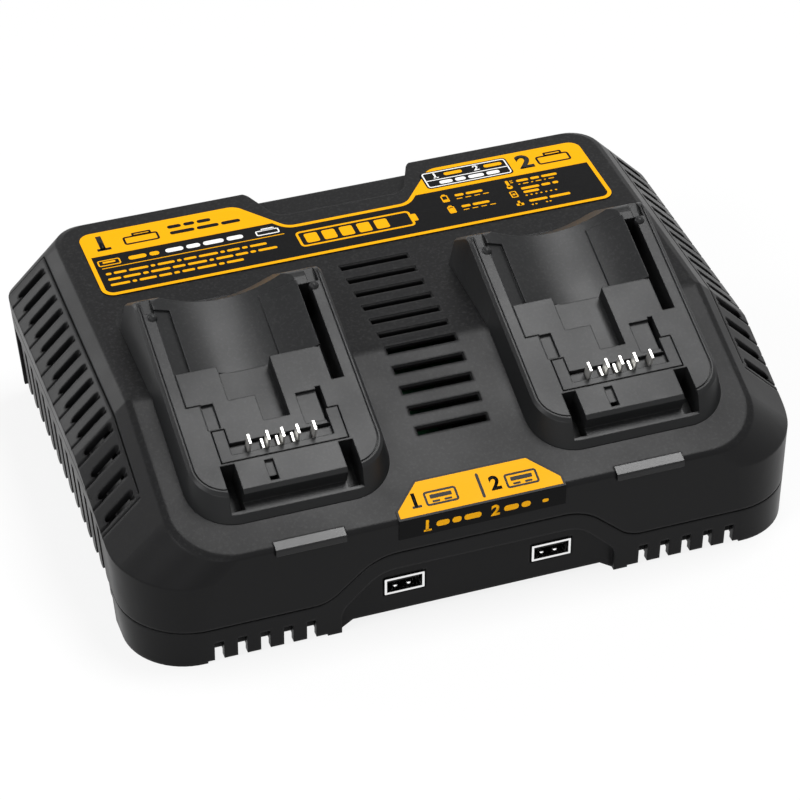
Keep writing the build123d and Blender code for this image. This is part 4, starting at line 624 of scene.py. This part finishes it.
def warning_key_prints():
    """A thermometer, a lens and a plug sign, each with its dashes and dots."""
    dashes_x = 65.0
    prints = thermometer_sign((61.4, 57.6))
    prints += [outline(2.6, 4.0, 0.5, 0.45, (61.2, 50.6)), plate(1.1, 1.1, 0.5, (61.2, 50.6))]
    prints += [plate(2.8, 1.4, 0.4, (61.2, 43.9)), plate(0.8, 3.2, 0.3, (61.2, 44.6))]
    prints += dash_row((4.6, 3.4, 6.0), 0.9, 1.4, (dashes_x, 58.4))
    prints += dash_row((0.8, 2.2, 0.8, 2.2, 0.8, 2.2), 1.0, 0.5, (dashes_x, 56.2))
    prints += dash_row((0.8,) * 7, 1.1, 0.7, (dashes_x, 48.6))
    prints += dash_row((0.8, 0.8), 0.6, 0.7, (dashes_x, 42.4))
    prints += dash_row((0.8, 0.8), 0.6, 0.7, (70.5, 42.4))
    prints += dash_row((7.0, 3.4, 2.2), 0.9, 1.4, (dashes_x, 53.2))
    prints += dash_row((6.0,), 0.9, 1.4, (dashes_x, 50.8))
    prints += dash_row((7.0, 8.0), 0.9, 1.4, (dashes_x, 44.9))
    return prints


def top_label_prints():
    """Numbers, signs and rows of dashes on the top label, one piece for each ink."""
    on_header = TOP_PLACE @ ON_BORDER
    on_field = TOP_PLACE @ ON_LABEL
    on_box = on_header @ Matrix.Translation((0, 0, PRINT_THICKNESS))
    printed("top_label_header_prints", header_prints(), "print_black", on_header)
    printed("top_label_box_white", box_prints(), "print_white", on_box)
    printed("top_label_box_amber", box_amber_prints(), "print_yellow", on_box)
    white = dash_row((6.5, 5.0, 7.5, 6.0), 1.2, 2.3, (-68.0, 57.4))
    white += battery_sign(8.6, 3.0, 0.5, (-30.4, 57.0))
    printed("top_label_field_white", white, "print_white", on_field)
    yellow = notice_prints()
    yellow += gauge_sign(43.0, 9.6, 0.9, (0.0, 48.6), 6, 5)
    yellow += list(charge_key_prints()) + warning_key_prints()
    printed("top_label_field_yellow", yellow, "print_yellow", on_field)


def front_label_prints():
    """Two socket signs with a divider, and a numbered band below them."""
    signs_y, figures_y, band_y = -61.6, -61.4, -4.0
    black = socket_sign((-12.8, signs_y)) + socket_sign((15.6, signs_y))
    black += figure("1", 5.2, (-22.0, figures_y)) + figure("2", 5.2, (6.3, figures_y))
    black += [plate(1.0, 9.6, 0.45, (1.2, -60.9))]
    printed("front_label_signs", black, "print_black", SLOPE_PLACE @ ON_BORDER)
    band = figure("1", 4.4, (-19.6, band_y)) + figure("2", 4.4, (4.4, band_y))
    band += dash_row((4.6, 3.2, 6.0), 1.0, 2.4, (-16.4, band_y))
    band += dash_row((5.2, 3.2), 1.0, 2.4, (7.4, band_y))
    band += dash_row((2.2,), 1.0, 1.4, (21.0, -4.3))
    printed("front_label_band_prints", band, "print_yellow", BAND_PLACE @ ON_LABEL)


top_label_border()
front_label_field()
top_label_prints()
front_label_prints()


# ---- Sockets --------------------------------------------------------------------------
def spring_dimples():
    """Pressed dimples of the contact springs, near the mouth of each socket shell."""
    radius, cut_height, sink = 0.95 * MM, 0.1 * MM, 0.05 * MM
    first_x, mouth_y = -28.7 * MM, -77.7 * MM
    floor_z = SOCKET_Z - SOCKET_SHELL_HEIGHT / 2 + SOCKET_SHELL_WALL
    bpy.ops.object.select_all(action="DESELECT")
    bpy.ops.mesh.primitive_uv_sphere_add(segments=20, ring_count=12, radius=radius)
    dimple = bpy.context.active_object
    edit(dimple)
    bpy.ops.mesh.select_all(action="SELECT")
    bpy.ops.mesh.bisect(plane_co=(0, 0, cut_height), plane_no=(0, 0, 1), clear_inner=True,
                        use_fill=True)
    bpy.ops.mesh.select_all(action="SELECT")
    bpy.ops.transform.resize(value=(1.0, 1.15, 0.7), center_override=(0, 0, 0))
    bpy.ops.transform.translate(value=(first_x, mouth_y, floor_z - sink))
    leave_edit()
    take(dimple)
    bpy.ops.object.shade_smooth_by_angle(angle=math.radians(40))
    pair, sockets = 4.8, 52.6  # between the two dimples of a socket, and between the sockets
    shifts = (pair, sockets, sockets + pair)
    dimples = [dimple] + [copied(dimple, (shift, 0)) for shift in shifts]
    return settle(joined(dimples), "usb_spring_dimples", finishes["shell"])


spring_dimples()


# ---- Studio ---------------------------------------------------------------------------
FLOOR_GLOW = 0.85  # how far the floor runs off to white; the rest keeps the shadow
ROOM_LIGHT = 0.22
AIM_HEIGHT = 25.53 * MM
VIEW_AZIMUTH = math.radians(-19.03)
VIEW_ELEVATION = math.radians(37.85)
VIEW_DISTANCE = 1104.11 * MM
LENS_LENGTH = 140.36
# name, place, point aimed at, size, power
SOFT_BOXES = (
    ("overhead soft box", (0.30, 0.05, 1.15), (0.0, -0.02, 0.05), (0.5, 0.5), 12.0),
    ("left soft box", (-0.95, 0.85, 0.42), (0.0, 0.0, 0.05), (0.7, 0.6), 6.0),
    ("corner soft box", (-0.93, -0.38, 0.85), (0.0, 0.0, 0.04), (0.4, 0.4), 5.0),
    ("front soft box", (-0.5, -1.2, 0.45), (0.0, 0.0, 0.04), (0.8, 0.5), 4.0),
)


def seen_directly(tree):
    """1 for rays of the camera, and for those reflected or let through on their way to it."""
    path = tree.nodes.new("ShaderNodeLightPath")
    some = math_node(tree, "MAXIMUM", path.outputs["Is Camera Ray"], path.outputs["Is Glossy Ray"])
    return math_node(tree, "MAXIMUM", some, path.outputs["Is Transmission Ray"])


def studio_floor():
    """A plain pale floor that runs off to white and keeps the shadow."""
    bpy.ops.object.select_all(action="DESELECT")
    bpy.ops.mesh.primitive_plane_add(size=12.0, location=(0, 0, 0))
    floor = bpy.context.active_object
    floor.name = "studio_floor"
    material = bpy.data.materials.new("pale floor")
    material.use_nodes = True
    tree = material.node_tree
    tree.nodes.clear()
    output = tree.nodes.new("ShaderNodeOutputMaterial")
    paper = tree.nodes.new("ShaderNodeBsdfDiffuse")
    paper.inputs["Color"].default_value = (0.82, 0.82, 0.82, 1.0)
    glow = tree.nodes.new("ShaderNodeEmission")
    glow.inputs["Strength"].default_value = 1.0
    share = math_node(tree, "MULTIPLY", seen_directly(tree), FLOOR_GLOW)
    blend = tree.nodes.new("ShaderNodeMixShader")
    tree.links.new(share, blend.inputs["Fac"])
    tree.links.new(paper.outputs["BSDF"], blend.inputs[1])
    tree.links.new(glow.outputs["Emission"], blend.inputs[2])
    tree.links.new(blend.outputs["Shader"], output.inputs["Surface"])
    floor.data.materials.append(material)


def studio_world():
    world = bpy.data.worlds.new("studio")
    bpy.context.scene.world = world
    world.use_nodes = True
    tree = world.node_tree
    tree.nodes.clear()
    output = tree.nodes.new("ShaderNodeOutputWorld")
    room = tree.nodes.new("ShaderNodeBackground")
    set_inputs(room, {"Color": (1.0, 1.0, 1.0, 1.0), "Strength": ROOM_LIGHT})
    white = tree.nodes.new("ShaderNodeBackground")
    set_inputs(white, {"Color": (1.0, 1.0, 1.0, 1.0), "Strength": 1.0})
    blend = tree.nodes.new("ShaderNodeMixShader")
    tree.links.new(seen_directly(tree), blend.inputs["Fac"])
    tree.links.new(room.outputs["Background"], blend.inputs[1])
    tree.links.new(white.outputs["Background"], blend.inputs[2])
    tree.links.new(blend.outputs["Shader"], output.inputs["Surface"])


def soft_box(name, place, target, size, power):
    bpy.ops.object.select_all(action="DESELECT")
    bpy.ops.object.light_add(type="AREA", location=place)
    lamp = bpy.context.active_object
    lamp.name = name
    lamp.data.shape = "RECTANGLE"
    lamp.data.size = size[0]
    lamp.data.size_y = size[1]
    lamp.data.energy = power
    aim = Vector(target) - Vector(place)
    lamp.rotation_euler = aim.to_track_quat("-Z", "Y").to_euler()


def studio_camera():
    target = Vector((0.0, 0.0, AIM_HEIGHT))
    outward = Vector((
        math.sin(VIEW_AZIMUTH) * math.cos(VIEW_ELEVATION),
        -math.cos(VIEW_AZIMUTH) * math.cos(VIEW_ELEVATION),
        math.sin(VIEW_ELEVATION),
    ))
    bpy.ops.object.select_all(action="DESELECT")
    bpy.ops.object.camera_add(location=target + outward * VIEW_DISTANCE)
    camera = bpy.context.active_object
    camera.name = "camera"
    camera.rotation_euler = (-outward).to_track_quat("-Z", "Y").to_euler()
    camera.data.sensor_width = 36.0
    camera.data.lens = LENS_LENGTH
    camera.data.clip_start = 0.01
    bpy.context.scene.camera = camera


studio_floor()
studio_world()
for name, place, target, size, power in SOFT_BOXES:
    soft_box(name, place, target, size, power)
studio_camera()
bpy.context.scene.view_settings.view_transform = "Standard"
